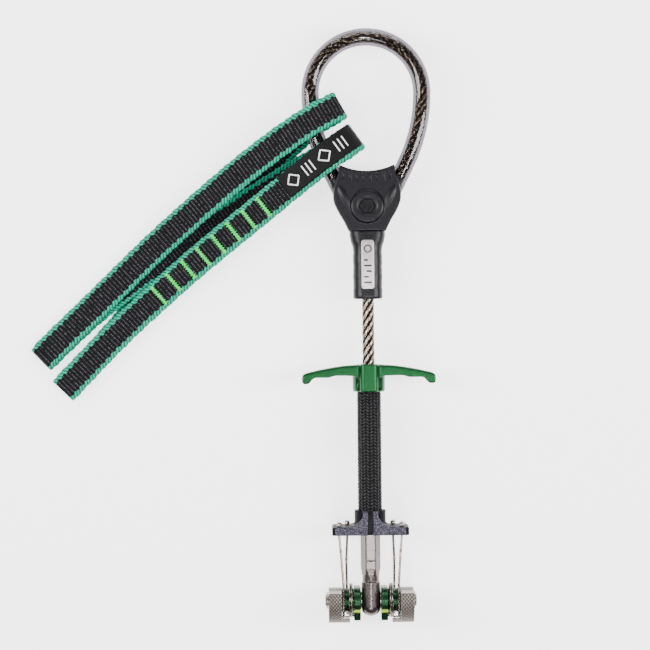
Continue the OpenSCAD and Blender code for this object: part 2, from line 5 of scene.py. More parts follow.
import bmesh
import bpy
import numpy as np
from mathutils import Matrix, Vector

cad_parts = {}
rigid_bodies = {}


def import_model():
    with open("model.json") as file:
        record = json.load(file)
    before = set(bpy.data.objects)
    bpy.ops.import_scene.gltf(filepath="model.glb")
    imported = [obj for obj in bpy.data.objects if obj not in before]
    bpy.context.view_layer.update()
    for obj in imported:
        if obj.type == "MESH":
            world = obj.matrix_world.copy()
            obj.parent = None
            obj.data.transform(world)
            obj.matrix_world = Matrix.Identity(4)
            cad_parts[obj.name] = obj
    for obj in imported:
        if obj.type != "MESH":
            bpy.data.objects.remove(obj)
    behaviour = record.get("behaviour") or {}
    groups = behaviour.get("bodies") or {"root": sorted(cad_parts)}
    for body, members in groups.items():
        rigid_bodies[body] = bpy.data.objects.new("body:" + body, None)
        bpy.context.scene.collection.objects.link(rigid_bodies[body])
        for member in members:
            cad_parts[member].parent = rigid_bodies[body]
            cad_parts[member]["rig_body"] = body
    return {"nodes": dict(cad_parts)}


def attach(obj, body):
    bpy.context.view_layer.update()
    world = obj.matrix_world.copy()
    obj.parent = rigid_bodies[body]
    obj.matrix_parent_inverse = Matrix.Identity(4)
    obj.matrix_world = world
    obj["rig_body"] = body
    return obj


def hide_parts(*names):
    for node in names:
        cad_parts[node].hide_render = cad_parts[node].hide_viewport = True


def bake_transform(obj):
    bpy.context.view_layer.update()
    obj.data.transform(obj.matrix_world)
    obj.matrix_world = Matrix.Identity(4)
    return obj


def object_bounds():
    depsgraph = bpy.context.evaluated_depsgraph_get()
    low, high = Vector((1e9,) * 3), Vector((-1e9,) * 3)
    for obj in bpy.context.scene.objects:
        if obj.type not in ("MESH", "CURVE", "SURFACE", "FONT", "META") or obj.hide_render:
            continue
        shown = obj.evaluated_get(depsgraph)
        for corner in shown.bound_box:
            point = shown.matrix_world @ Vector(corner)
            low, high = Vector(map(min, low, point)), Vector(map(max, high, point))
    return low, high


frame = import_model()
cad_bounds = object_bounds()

MM = 0.001
SCENE = bpy.context.scene
LIGHT_AIM = (-0.02, 0.09, 0)
MIRROR_Z = Matrix.Diagonal((1, 1, -1, 1))

# ---- Dimensions in millimetres, the same as the CAD's
TIP_R = 11.9
CAM_ANGLE = radians(16)
TIP_ANGLE = 108
TOE_ANGLE = -4
LIP_ANGLE = 24
LIP_INNER_Y = -6.15
LIP_X = 7.2
LOBE_TOP = 3.6
HUB_R = 4.4
BARREL_HUB_R = 4.1
HUB_END_X = 5.9
INNER_LOBE_X = 3.5
INNER_LOBE_W = 2.3
OUTER_LOBE_X = 9.9
OUTER_LOBE_W = 4.5
LOBE_TURN = radians(95)
HEAD_HALF_W = 3.1
NECK_Y = 6.5
BARREL_Y = 9.9
BARREL_END_Y = 23.8
BARREL_R = 3.4
AXLE_R = 1.7
RIVET_X = 15
RIVET_R = 2.1
RIVET_T = 0.6
COIL_R = 5.6
SPRING_WIRE_R = 0.3
COIL_START_X = 6.2
COIL_PITCH = 0.62
SPRING_PIN_ANGLE = 10
WIRE_R = 0.42
WIRE_HOLE_R = 7
HOLE_Y = -WIRE_HOLE_R * sin(LOBE_TURN / 2)
HOLE_Z = WIRE_HOLE_R * cos(LOBE_TURN / 2)
STOP_Z = 3.3
STOP_R = 0.9
STOP_Y = 25.65
STOP_H = 1.15
BAR_Y = 22.6
BAR_TOP_Y = 25.3
BOSS_TOP_Y = 30.7
SLIDER_HALF_L = 13
SLIDER_HALF_T = 7
SHEATH_R = 4
SHEATH_BORE_R = 3.32
SHEATH_Y = 27.7
SHEATH_END_Y = 72.8
TRIGGER_Y = 70.8
TRIGGER_TOP_Y = 80.2
TRIGGER_HALF_SPAN = 22.7
TRIGGER_HALF_T = 4
ROPE_R = 2.1
ROPE_Y = 8
SHIFT_Y = 106
LEG_X = 2.12
LEG_Y = 125.8
LEG_TOP = (13.2, 148)
LOOP_TOP_R = 19
LOOP_TOP_Y = 172.5
SIDE_R = 54.7
TUBE_START = (3.1, 127.8)
TUBE_R = 3
SLEEVE_Y = 102.3
SLEEVE_END_Y = 125.5
REST_Y = 125.65
REST_HALF_T = 4.4
SCREW_Y = 133.7
SCREW_HEAD_Z = 3
WEB_W = 10
WEB_T = 1.3
RIB_PITCH = 1.28
KNIT_PITCH = 1.3
WAVER_PITCH = 2.6

# Route of the sling's middle line: x, y, z and the heading of the strand in degrees
SLING_ROUTE = np.array([
    (-110.6, 84.8, -8.2, 43.5), (-93, 101.6, -7.5, 43.5), (-70.9, 122.6, -6.1, 41.5),
    (-46.1, 143.6, -1.4, 37), (-30.5, 155.2, 2.5, 34), (-18.6, 162.9, 4.3, 30.5),
    (-11.8, 166.7, 3.1, 29), (-9, 168.2, 0, 29),
    (-11.8, 166.7, -3.2, 30), (-18.8, 162.6, -5.6, 35), (-34, 149, -9.1, 41),
    (-52, 134.2, -10.5, 45.5), (-72, 108.6, -10.6, 49), (-90, 87.8, -10.5, 47.5),
    (-102.8, 74.3, -10.4, 47.5), (-104.8, 72.2, -9.35, 46),
    (-103, 74.1, -8.3, 45.5), (-83.5, 93.6, -7.8, 44), (-61.7, 113, -6, 40),
    (-39.5, 130.6, -1.4, 38), (-25.5, 141.4, 3, 37.5), (-13.8, 150.3, 5.6, 36.5),
    (-6.5, 155.5, 4.2, 35.5), (-3.6, 157.6, 0, 35.5),
    (-6.6, 155.5, -3, 34), (-14.4, 150.9, -4.1, 32), (-30, 142, -6.4, 32.5),
    (-50, 129.6, -8.9, 34.5), (-70, 116.6, -9.1, 36), (-92, 101.2, -9.2, 40),
    (-104, 90.7, -10.2, 42.5), (-110.4, 84.6, -10.4, 43), (-112.3, 82.8, -9.3, 43.5),
])
LAP = (17.3, 19.6)
LAP_GAP = 0.03
TACKS = (17.55, 17.782, 18.016, 18.248, 18.477, 18.711, 18.961, 19.3)
LABEL = (19.85, 22.6)


# ---- Camera, light and floor

def add_camera():
    data = bpy.data.cameras.new("camera")
    data.angle = radians(17.94)
    data.clip_start = 0.01
    camera = bpy.data.objects.new("camera", data)
    camera.location = (-0.01469, 0.09365, 0.7)
    camera.rotation_euler = (0, 0, radians(-0.58))
    SCENE.collection.objects.link(camera)
    SCENE.camera = camera


def add_light(name, location, size, power):
    data = bpy.data.lights.new(name, "AREA")
    data.shape = "RECTANGLE"
    data.size, data.size_y = size
    data.energy = power
    light = bpy.data.objects.new(name, data)
    light.location = location
    direction = np.array(location, float) - LIGHT_AIM
    light.rotation_euler = (
        acos(direction[2] / np.linalg.norm(direction)), 0, np.arctan2(direction[0], -direction[1])
    )
    SCENE.collection.objects.link(light)


def add_studio():
    world = bpy.data.worlds.new("studio")
    world.use_nodes = True
    background = world.node_tree.nodes["Background"]
    background.inputs["Color"].default_value = (0.95, 0.95, 1, 1)
    background.inputs["Strength"].default_value = 0.2
    SCENE.world = world
    add_light("left_box", (-0.42, 0.16, 0.5), (0.2, 0.5), 5)
    add_light("right_box", (0.42, 0.1, 0.5), (0.14, 0.5), 4.5)
    add_light("top_box", (0.0, 0.75, 0.35), (0.7, 0.2), 3.5)
    add_light("front_box", (-0.02, -0.35, 0.7), (0.4, 0.1), 2)
    add_light("low_box", (0.03, -0.06, 0.9), (0.07, 0.1), 1.8)
    floor_z = cad_bounds[0][2] - 0.15 * MM
    mesh = bpy.data.meshes.new("floor")
    reach = 3
    corners = [(x * reach, y * reach, floor_z) for x, y in ((-1, -1), (1, -1), (1, 1), (-1, 1))]
    mesh.from_pydata(corners, [], [(0, 1, 2, 3)])
    floor = bpy.data.objects.new("floor", mesh)
    SCENE.collection.objects.link(floor)
    shade = Shader("floor_paper", "#FAFAFA", 0.9, Emission_Color=(1, 1, 1, 1), Emission_Strength=2.2)
    mesh.materials.append(shade.material)


# ---- Materials

def srgb(code):
    rgb = [int(code[i:i + 2], 16) / 255 for i in (1, 3, 5)]
    return tuple(c / 12.92 if c <= 0.04045 else ((c + 0.055) / 1.055) ** 2.4 for c in rgb) + (1,)


class Shader:
    """A material with a short way to add its nodes."""

    def __init__(self, name, color, roughness, metallic=0.0, **sockets):
        self.material = bpy.data.materials.new(name)
        self.material.use_nodes = True
        self.tree = self.material.node_tree
        self.surface = self.tree.nodes["Principled BSDF"]
        self.surface.inputs["Base Color"].default_value = srgb(color)
        self.surface.inputs["Roughness"].default_value = roughness
        self.surface.inputs["Metallic"].default_value = metallic
        for key, value in sockets.items():
            self.surface.inputs[key.replace("_", " ")].default_value = value

    def put(self, socket, value):
        if isinstance(value, bpy.types.NodeSocket):
            self.tree.links.new(value, socket)
        else:
            socket.default_value = value

    def math(self, operation, a, b=0.0):
        made = self.tree.nodes.new("ShaderNodeMath")
        made.operation = operation
        self.put(made.inputs[0], a)
        self.put(made.inputs[1], b)
        return made.outputs[0]

    def plus(self, a, b):
        return self.math("ADD", a, b)

    def times(self, a, b):
        return self.math("MULTIPLY", a, b)

    def attribute(self, name):
        made = self.tree.nodes.new("ShaderNodeAttribute")
        made.attribute_name = name
        return made.outputs["Fac"]

    def noise(self, size, detail=3.0, stretch=(1, 1, 1)):
        """Noise with features of a size in millimetres, stretched along each axis."""
        place = self.tree.nodes.new("ShaderNodeTexCoord")
        mapping = self.tree.nodes.new("ShaderNodeMapping")
        mapping.inputs["Scale"].default_value = [1 / s for s in stretch]
        self.tree.links.new(place.outputs["Object"], mapping.inputs["Vector"])
        made = self.tree.nodes.new("ShaderNodeTexNoise")
        made.inputs["Scale"].default_value = 1 / (size * MM)
        made.inputs["Detail"].default_value = detail
        self.tree.links.new(mapping.outputs["Vector"], made.inputs["Vector"])
        return made.outputs["Fac"]

    def span(self, value, low, high, to_low=0.0, to_high=1.0):
        made = self.tree.nodes.new("ShaderNodeMapRange")
        made.interpolation_type = "SMOOTHSTEP"
        for key, number in (("From Min", low), ("From Max", high), ("To Min", to_low), ("To Max", to_high)):
            made.inputs[key].default_value = number
        self.tree.links.new(value, made.inputs["Value"])
        return made.outputs["Result"]

    def mix(self, factor, a, b):
        made = self.tree.nodes.new("ShaderNodeMix")
        made.data_type = "RGBA"
        self.put(made.inputs[0], factor)
        self.put(made.inputs[6], srgb(a) if isinstance(a, str) else a)
        self.put(made.inputs[7], srgb(b) if isinstance(b, str) else b)
        return made.outputs[2]

    def spotted(self, spots, dark, light):
        """Colour that goes from dark to light with the spots."""
        return self.mix(self.span(spots, 0.35, 0.65), dark, light)

    def bump(self, height, depth):
        """Bump with a depth in millimetres."""
        made = self.tree.nodes.new("ShaderNodeBump")
        made.inputs["Distance"].default_value = depth * MM
        made.inputs["Strength"].default_value = 1
        self.tree.links.new(height, made.inputs["Height"])
        self.tree.links.new(made.outputs["Normal"], self.surface.inputs["Normal"])

    def link(self, key, value):
        self.tree.links.new(value, self.surface.inputs[key])


def mottled(name, dark, light, roughness, metallic=0.0, size=1.0, stretch=(1, 1, 1), depth=0.02, **sockets):
    """A finish whose colour, gloss and surface vary a little, as worked metal or plastic does."""
    shade = Shader(name, light, roughness, metallic, **sockets)
    coarse = shade.noise(size, 4, stretch)
    fine = shade.noise(size / 6, 2, stretch)
    both = shade.plus(shade.times(coarse, 0.6), shade.times(fine, 0.4))
    shade.link("Base Color", shade.spotted(both, dark, light))
    vary = 0.02 if metallic == 1 else 0.07
    shade.link("Roughness", shade.span(both, 0.3, 0.7, roughness - vary, roughness + vary))
    shade.bump(both, depth)
    return shade


def groove_shaded(name, shaded_groove, dark, light, roughness, metallic, size, depth):
    """A mottled finish that turns to a dark colour, painted shade, where the piece's attribute marks grooves
    and creases.
    """
    shade = Shader(name, light, roughness, metallic)
    spots = shade.noise(size, 4)
    face = shade.spotted(spots, dark, light)
    # Painted shade: the dark colour fills the marked grooves and creases.
    shade.link("Base Color", shade.mix(shade.attribute("shaded_groove"), face, shaded_groove))
    shade.link("Roughness", shade.span(spots, 0.3, 0.7, roughness - 0.06, roughness + 0.12))
    shade.bump(spots, depth)
    return shade


def clear_plastic():
    """Clear tube: hardly there in the middle, milky and lilac-grey towards its edges."""
    shade = Shader("clear_tube", "#E6E2E8", 0.06, IOR=1.0, Transmission_Weight=1.0,
                   Coat_Weight=0.7, Coat_Roughness=0.04, Coat_IOR=1.5)
    facing = shade.tree.nodes.new("ShaderNodeLayerWeight")
    facing.inputs["Blend"].default_value = 0.5
    cloud = shade.noise(6, 3)
    middle = shade.spotted(cloud, "#E6E1E8", "#F4F1F6")
    shade.link("Base Color", shade.mix(shade.span(facing.outputs["Facing"], 0.2, 0.38), middle, "#554E5A"))
    shade.bump(cloud, 0.04)
    return shade


def rope_metal():
    """Wire rope: painted dark as shade between its strands and wires, bright on the stem, and painted a
    darker brown inside the clear tube for the shade it lies in there.
    """
    shade = Shader("rope_steel", "#A89C90", 0.25, 1.0)
    spots = shade.noise(0.8, 4)
    bright = shade.spotted(spots, "#8E8176", "#A69A8E")
    # Painted shade: the darker brown used for the rope where it lies inside the clear tube.
    tube_shaded = shade.spotted(spots, "#4A4133", "#6B5F4C")
    face = shade.mix(shade.attribute("tube_shade"), bright, tube_shaded)
    # Painted shade: the creases between wires and strands turn near black.
    shade.link("Base Color", shade.mix(shade.attribute("shaded_groove"), face, "#1E1712"))
    shade.link("Roughness", shade.span(spots, 0.3, 0.7, 0.2, 0.34))
    shade.bump(spots, 0.01)
    return shade


def slider_metal():
    """Dark blasted slider with a fine pale speckle; painted shade darkens its side faces and turns the inside
    of its front groove black.
    """
    shade = Shader("dark_blasted", "#15131D", 0.45, 0.5)
    speck = shade.noise(0.3, 2)
    coarse = shade.noise(1.4, 3)
    face = shade.mix(shade.span(speck, 0.45, 0.62), "#121019", "#5C586A")
    face = shade.mix(shade.span(coarse, 0.5, 0.7, 0, 0.3), face, "#0D0B12")
    place = shade.tree.nodes.new("ShaderNodeTexCoord")
    tilt = shade.tree.nodes.new("ShaderNodeSeparateXYZ")
    shade.tree.links.new(place.outputs["Normal"], tilt.inputs[0])
    flat = shade.span(shade.math("ABSOLUTE", tilt.outputs["Z"]), 0.75, 0.95)
    # Painted shade: faces that do not face front or back are darkened to near black.
    face = shade.mix(flat, "#0A0810", face)
    shade.link("Metallic", shade.times(flat, 0.5))
    shade.link("Specular IOR Level", shade.plus(shade.times(flat, 0.4), 0.04))
    split = shade.tree.nodes.new("ShaderNodeSeparateXYZ")
    shade.tree.links.new(place.outputs["Object"], split.inputs[0])
    off = shade.math("ABSOLUTE", split.outputs["X"])
    # Painted shade: the front groove, within 0.95 mm of the middle in X, is painted black.
    shade.link("Base Color", shade.mix(shade.span(off, 0.93 * MM, 1.0 * MM), "#030304", face))
    shade.link("Roughness", shade.span(speck, 0.3, 0.7, 0.36, 0.55))
    shade.bump(speck, 0.05)
    return shade


def webbing_cloth():
    """Black ribbed webbing with turquoise knitted edges, from its along and across attributes; a grey
    highlight is painted on the rib crests.
    """
    shade = Shader("webbing_cloth", "#060606", 0.7, Specular_IOR_Level=0.15)
    along, across = shade.attribute("along"), shade.attribute("across")
    out = shade.math("ABSOLUTE", across)
    waver = shade.times(shade.math("SINE", shade.times(along, 2 * pi / WAVER_PITCH)), 0.24)
    slow = shade.times(shade.math("SUBTRACT", shade.noise(9, 2), 0.5), 1.1)
    edge = shade.span(shade.plus(out, shade.plus(waver, slow)), 3.42, 3.62)
    rib = shade.math("ABSOLUTE", shade.math("SINE", shade.times(along, pi / RIB_PITCH)))
    brick = shade.times(shade.math("FLOOR", shade.times(along, 1 / RIB_PITCH)), 2.4)
    thread = shade.math("SINE", shade.plus(shade.times(across, 2 * pi / 0.62), brick))
    fleck = shade.noise(0.32, 3)
    # Painted highlight: the rib crests turn grey, broken by thread noise into dashes.
    highlight_dashes = shade.span(shade.plus(shade.times(thread, 0.12), shade.noise(0.55, 2)), 0.42, 0.68)
    rib_highlight = shade.times(shade.span(rib, 0.68, 1), highlight_dashes)
    body = shade.mix(rib_highlight, "#030304", "#4C4C52")
    knit = shade.math("SINE", shade.plus(shade.times(along, 2 * pi / KNIT_PITCH), shade.times(out, 3.4)))
    turquoise = shade.mix(shade.span(shade.plus(knit, fleck), -0.4, 1.2), "#09614B", "#17A583")
    shade.link("Base Color", shade.mix(edge, body, turquoise))
    shade.bump(shade.plus(shade.times(thread, 0.3), fleck), 0.12)
    return shade


# ---- Meshes

def piece(name, verts, faces, shade, body, nodes=(), slot=None, attributes=None, sharp=None):
    """A mesh piece in millimetres that rides on a body and stands for CAD nodes."""
    obj = solid(verts, faces, name)
    for key, values in (attributes or {}).items():
        layer = obj.data.attributes.new(key, "FLOAT", "POINT")
        layer.data.foreach_set("value", np.asarray(values, np.float32).ravel())
    return finished(obj, shade, body, nodes, sharp)


def finished(obj, shade, body, nodes=(), sharp=None):
    mesh = obj.data
    mesh.materials.clear()
    mesh.materials.append(shade.material)
    mesh.shade_smooth()
    if sharp is not None:
        mesh.set_sharp_from_angle(angle=radians(sharp))
    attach(obj, body)
    if nodes:
        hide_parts(*nodes)
    return obj


def recolour(node, shade):
    """Gives a CAD node that is shown as it is another material."""
    materials = frame["nodes"][node].data.materials
    materials.clear()
    materials.append(shade.material)


def joined(parts):
    """Vertices and faces of several (verts, faces) as one."""
    verts, faces = [], []
    for v, f in parts:
        base = sum(len(x) for x in verts)
        verts.append(np.asarray(v, float))
        faces += [tuple(i + base for i in face) for face in f]
    return np.concatenate(verts), faces


def ring_faces(rows, cols, closed=False):
    """Quads between rows of points, each a closed ring, with the two ends capped or joined."""
    faces = []
    for i in range(rows if closed else rows - 1):
        a, b = i * cols, (i + 1) % rows * cols
        faces += [(a + k, b + k, b + (k + 1) % cols, a + (k + 1) % cols) for k in range(cols)]
    if not closed:
        faces.append(tuple(range(cols)))
        faces.append(tuple(range((rows - 1) * cols, rows * cols))[::-1])
    return faces


def around(n):
    """Angles of n even steps round a full turn."""
    return np.arange(n) * 2 * pi / n


def lengths(path):
    """Length along a path up to each of its points."""
    return np.concatenate([[0], np.cumsum(np.linalg.norm(np.diff(path, axis=0), axis=1))])


def unit(v):
    return v / np.maximum(np.linalg.norm(v, axis=-1, keepdims=True), 1e-12)


def runs(path):
    return unit(np.gradient(path, axis=0))


def resampled(path, step):
    path = np.asarray(path, float)
    length = lengths(path)
    at = np.linspace(0, length[-1], max(int(round(length[-1] / step)), 2) + 1)
    return np.stack([np.interp(at, length, path[:, k]) for k in range(path.shape[1])], axis=1)


def softened(path, step, reach):
    """The path at even steps with its corners rounded over a reach, both in millimetres."""
    points = resampled(path, step)
    n = max(int(reach / step), 1)
    padded_path = np.concatenate([
        points[0] + (points[0] - points[n:0:-1]), points, points[-1] + (points[-1] - points[-2:-n - 2:-1])])
    kernel = np.hanning(2 * n + 3)[1:-1]
    kernel /= kernel.sum()
    return np.stack([np.convolve(padded_path[:, k], kernel, "valid") for k in range(points.shape[1])], axis=1)


def swept(path, section, aside=(0, 0, 1)):
    """A section of (a, b) offsets, the same or one per point, swept along a path; a is aside, b across."""
    path = np.asarray(path, float)
    run = runs(path)
    side = np.broadcast_to(np.asarray(aside, float), path.shape)
    b = unit(np.cross(run, side))
    a = unit(np.cross(b, run))
    section = np.asarray(section, float)
    if section.ndim == 2:
        section = np.broadcast_to(section, (len(path), *section.shape))
    verts = path[:, None] + section[..., :1] * a[:, None] + section[..., 1:] * b[:, None]
    return verts.reshape(-1, 3), ring_faces(len(path), section.shape[1])


def circle(r, sides):
    t = around(sides)
    return np.stack([r * np.cos(t), r * np.sin(t)], axis=1)


def lathe(profile, axis, sides=64, centre=(0, 0, 0)):
    """A (place along the axis, radius) profile turned round X or Y; radius 0 or a loop closes it."""
    t = around(sides)
    profile = np.asarray(profile, float)
    rows = []
    for place, r in profile:
        ring = [np.full(sides, place), r * np.cos(t), r * np.sin(t)]
        if axis == "Y":
            ring = [ring[1], ring[0], ring[2]]
        rows.append(np.stack(ring, axis=1))
    verts = np.concatenate(rows) + np.asarray(centre, float)
    loop = np.allclose(profile[0], profile[-1])
    if loop:
        verts = verts[:-sides]
    return verts, ring_faces(len(profile) - (1 if loop else 0), sides, loop)


def rounded(points, radii, steps=6):
    """A closed outline with each corner turned into an arc-like curve of about its radius."""
    points = np.asarray(points, float)
    out = []
    for i, p in enumerate(points):
        before, after = points[i - 1] - p, points[(i + 1) % len(points)] - p
        r = radii[i] if hasattr(radii, "__len__") else radii
        reach = min(r, 0.49 * np.linalg.norm(before), 0.49 * np.linalg.norm(after))
        if reach <= 0:
            out.append(p)
            continue
        a, b = p + unit(before) * reach, p + unit(after) * reach
        for k in range(steps + 1):
            t = k / steps
            out.append((1 - t) ** 2 * a + 2 * t * (1 - t) * p + t * t * b)
    return np.array(out)


def outline_normals(outline):
    run = unit(np.roll(outline, -1, axis=0) - np.roll(outline, 1, axis=0))
    area = np.sum(outline[:, 0] * np.roll(outline[:, 1], -1) - np.roll(outline[:, 0], -1) * outline[:, 1])
    return np.stack([run[:, 1], -run[:, 0]], axis=1) * (1 if area > 0 else -1)


def slab(outline, low, high, round_r, steps):
    """A closed outline in two axes given thickness along a third, as (N, 3) rows with rounded rims."""
    normal = outline_normals(outline)
    rows = []
    rim = [(round_r * (1 - cos(t)), round_r * (1 - sin(t))) for t in np.linspace(0, pi / 2, steps + 1)]
    levels = [(low + up, inset) for up, inset in rim]
    levels += [(high - up, inset) for up, inset in reversed(rim)]
    for z, inset in levels:
        flat = outline - normal * inset
        rows.append(np.column_stack([flat, np.full(len(flat), z)]))
    return np.concatenate(rows), ring_faces(len(levels), len(outline))


def mirrored(verts, axis=0):
    out = np.array(verts, float)
    out[:, axis] *= -1
    return out


def solid(verts, faces, name="solid"):
    """An object from vertices in millimetres, its faces turned outwards."""
    mesh = bpy.data.meshes.new(name)
    mesh.from_pydata((np.asarray(verts, float) * MM).tolist(), [], faces)
    bm = bmesh.new()
    bm.from_mesh(mesh)
    bmesh.ops.recalc_face_normals(bm, faces=bm.faces)
    bm.to_mesh(mesh)
    bm.free()
    obj = bpy.data.objects.new(name, mesh)
    SCENE.collection.objects.link(obj)
    return obj


def prism(outline, low, high):
    """A closed outline in X and Y given thickness between two heights."""
    rows = [np.column_stack([outline, np.full(len(outline), z)]) for z in (low, high)]
    return solid(np.concatenate(rows), ring_faces(2, len(outline)))


def box_solid(low, high):
    x0, y0, z0 = low
    x1, y1, z1 = high
    return prism(np.array([(x0, y0), (x1, y0), (x1, y1), (x0, y1)], float), z0, z1)


def bake(obj):
    """Applies an object's modifiers to its mesh."""
    bpy.context.view_layer.update()
    mesh = bpy.data.meshes.new_from_object(obj.evaluated_get(bpy.context.evaluated_depsgraph_get()))
    obj.modifiers.clear()
    obj.data = mesh
    return obj


def combined(name, base, others, operation):
    for i, other in enumerate(others):
        modifier = base.modifiers.new(f"join{i}", "BOOLEAN")
        modifier.operation = operation
        modifier.solver = "EXACT"
        modifier.object = other
        bake(base)
        bpy.data.objects.remove(other)
    base.name = name
    return base


def remeshed(obj):
    """Melts the object's shells into one skin."""
    remesh = obj.modifiers.new("skin", "REMESH")
    remesh.mode = "VOXEL"
    remesh.voxel_size = 0.17 * MM
    return bake(obj)


def smoothed(obj, turns):
    """Rounds the object's corners a little with each turn."""
    soften = obj.modifiers.new("soften", "SMOOTH")
    soften.factor = 0.5
    soften.iterations = turns
    return bake(obj)


# ---- Head and axle

def ring_at(y, r, angle):
    """Points round the stem's line at a height, a radius away in each direction."""
    return np.column_stack([r * np.cos(angle), np.full(len(angle), y), r * np.sin(angle)])


def polar_loft(levels, radius):
    """Rings along Y whose radius in each direction is given by radius(y, angle), closed at both ends."""
    cols = 96
    angle = around(cols)
    rows = [ring_at(y, radius(y, angle), angle) for y in levels]
    return np.concatenate(rows), ring_faces(len(levels), cols)


def step_up(y, at, width):
    t = np.clip((y - at) / width + 0.5, 0, 1)
    return t * t * (3 - 2 * t)


def add_head(steel):
    head_r, ball_y, neck_r = 3.5, -1.9, 2.82

    def radius(y, angle):
        ball = sqrt(max(head_r ** 2 - min(y - ball_y, 0) ** 2, 0))
        head = np.minimum(ball, HEAD_HALF_W / np.maximum(np.abs(np.cos(angle)), 1e-6))
        neck = neck_r + 0.03 * (y - NECK_Y) + 0.12 * np.cos(6 * angle) * step_up(y, 8.8, 1.2)
        turn = (angle + pi / 6) % (pi / 3) - pi / 6
        hexagon = BARREL_R * cos(pi / 6) / np.cos((turn % (pi / 3)) - pi / 6)
        hexagon = np.minimum(hexagon, BARREL_R * 0.985)
        end = 0.35 * (1 - sqrt(max(1 - max(y - BARREL_END_Y + 0.35, 0) ** 2 / 0.35 ** 2, 0)))
        seam = 0.07 * exp(-((y - 13.6) / 0.12) ** 2)
        barrel = hexagon - end - seam
        r = head + (neck - head) * step_up(y, NECK_Y - 0.1, 0.5)
        return r + (barrel - r) * step_up(y, BARREL_Y + 0.35, 1.5)

    tip = ball_y - head_r
    levels = [tip + head_r * (1 - cos(t)) for t in np.linspace(0.02, pi / 2, 26)]
    levels += list(np.arange(levels[-1] + 0.2, 5.8, 0.25)) + list(np.arange(5.8, 12, 0.06))
    levels += list(np.arange(12, 23.3, 0.1)) + list(np.linspace(23.4, BARREL_END_Y, 9))
    piece("head_terminal_forged", *polar_loft(levels, radius), steel, "root", ["head_terminal"],
          "swaged_steel", sharp=38)


def add_axle(steel):
    r, end, dome = AXLE_R - 0.02, RIVET_X + RIVET_T, 0.22
    half = [(RIVET_X - 0.02, r), (RIVET_X, RIVET_R - 0.1), (RIVET_X + 0.1, RIVET_R)]
    half += [(end - dome, RIVET_R - 0.02), (end - 0.1, RIVET_R - 0.25), (end - 0.02, RIVET_R - 0.9),
             (end - 0.12, 0.8), (end - 0.14, 0.02)]
    profile = [(-x, q) for x, q in reversed(half)] + half
    piece("axle_riveted", *lathe(profile, "X"), steel, "root", ["axle"], "swaged_steel", sharp=40)
    rings = []
    for side in (-1, 1):
        for x, w, outer in ((HEAD_HALF_W + 0.05, 0.3, 3), (OUTER_LOBE_X + OUTER_LOBE_W + 0.08, 0.45, 2.9)):
            inner, c = AXLE_R + 0.02, 0.08
            loop = [(x, inner), (x, outer - c), (x + c, outer), (x + w - c, outer), (x + w, outer - c),
                    (x + w, inner), (x, inner)]
            rings.append(lathe([(side * a, q) for a, q in loop], "X"))
    piece("axle_washer_rings", *joined(rings), steel, "root", ["axle_washers"], "swaged_steel", sharp=40)


# ---- Lobes

def spiral_r(angle):
    return TIP_R * np.exp(-tan(CAM_ANGLE) * np.radians(TIP_ANGLE - angle))


def on_spiral(angle, r):
    return np.stack([-r * np.cos(np.radians(angle)), r * np.sin(np.radians(angle))], axis=-1)


def back_r(angle):
    """Radius of the lobe's untreaded side, its flat faces joined with the round hub."""
    corners = np.array([on_spiral(TIP_ANGLE, spiral_r(TIP_ANGLE)), (LOBE_TOP, -1.2), (1.5, -4),
                        on_spiral(TOE_ANGLE, spiral_r(TOE_ANGLE))])
    ray = on_spiral(angle, 1.0)
    for p, q in zip(corners[:-1], corners[1:]):
        edge = q - p
        cross_ray = ray[0] * edge[1] - ray[1] * edge[0]
        if abs(cross_ray) < 1e-9:
            continue
        r = (p[0] * edge[1] - p[1] * edge[0]) / cross_ray
        t = (p[0] * ray[1] - p[1] * ray[0]) / cross_ray
        if r > 0 and -1e-6 <= t <= 1 + 1e-6:
            return max(r, HUB_R)
    return HUB_R


def knurl(x, arc):
    """How deep in a groove of the tread's diamond pattern a point is, from 0 to 1."""
    deep = 0
    for side in (-1, 1):
        cell = (x / 1.12 + side * arc / 1.42) % 1.0
        off = np.minimum(cell, 1 - cell)
        deep = np.maximum(deep, np.exp(-(off / 0.13) ** 2))
    return deep


def lobe_mesh(x0, x1, from_angle=TOE_ANGLE, to_angle=TIP_ANGLE, back=None):
    """A lobe's plate between x0 and x1, its tread knurled, in place on the right with its tread to +Z."""
    tread = np.linspace(from_angle, to_angle, int((to_angle - from_angle) * 1.5))
    r = spiral_r(tread)
    front = on_spiral(tread, r)
    arc = lengths(front)
    if back is None:
        rest = np.linspace(TIP_ANGLE, 360 + TOE_ANGLE, 128)[1:-1]
        back = np.array([on_spiral(a, back_r(a)) for a in rest])
    outline = np.concatenate([front, back])
    treaded = np.concatenate([np.ones(len(front)), np.zeros(len(back))])
    treaded[[0, len(front) - 1]] = 0
    arcs = np.concatenate([arc, np.zeros(len(back))])
    normal = outline_normals(outline)
    rim, step, depth = 0.16, 0.11, 0.17
    xs = np.concatenate([[x0, x0 + 0.04], np.arange(x0 + rim, x1 - rim, step), [x1 - rim, x1 - 0.04, x1]])
    inset = np.concatenate([[rim, rim / 2], np.zeros(len(xs) - 4), [rim / 2, rim]])
    rows, deep = [], []
    for x, up in zip(xs, inset):
        # The groove depth sinks the tread and is also handed on to paint the grooves dark as shade.
        shaded_groove = knurl(x, arcs) * treaded * (1 - up / rim)
        sunk = outline - normal * (up + depth * shaded_groove)[:, None]
        rows.append(np.column_stack([np.full(len(outline), x), sunk]))
        deep.append(shaded_groove)
    open_rows = np.concatenate([[0], np.ones(len(xs) - 2), [0]])
    on_tread = (open_rows[:, None] * treaded[None]).ravel()
    return np.concatenate(rows), ring_faces(len(xs), len(outline)), np.concatenate(deep), on_tread


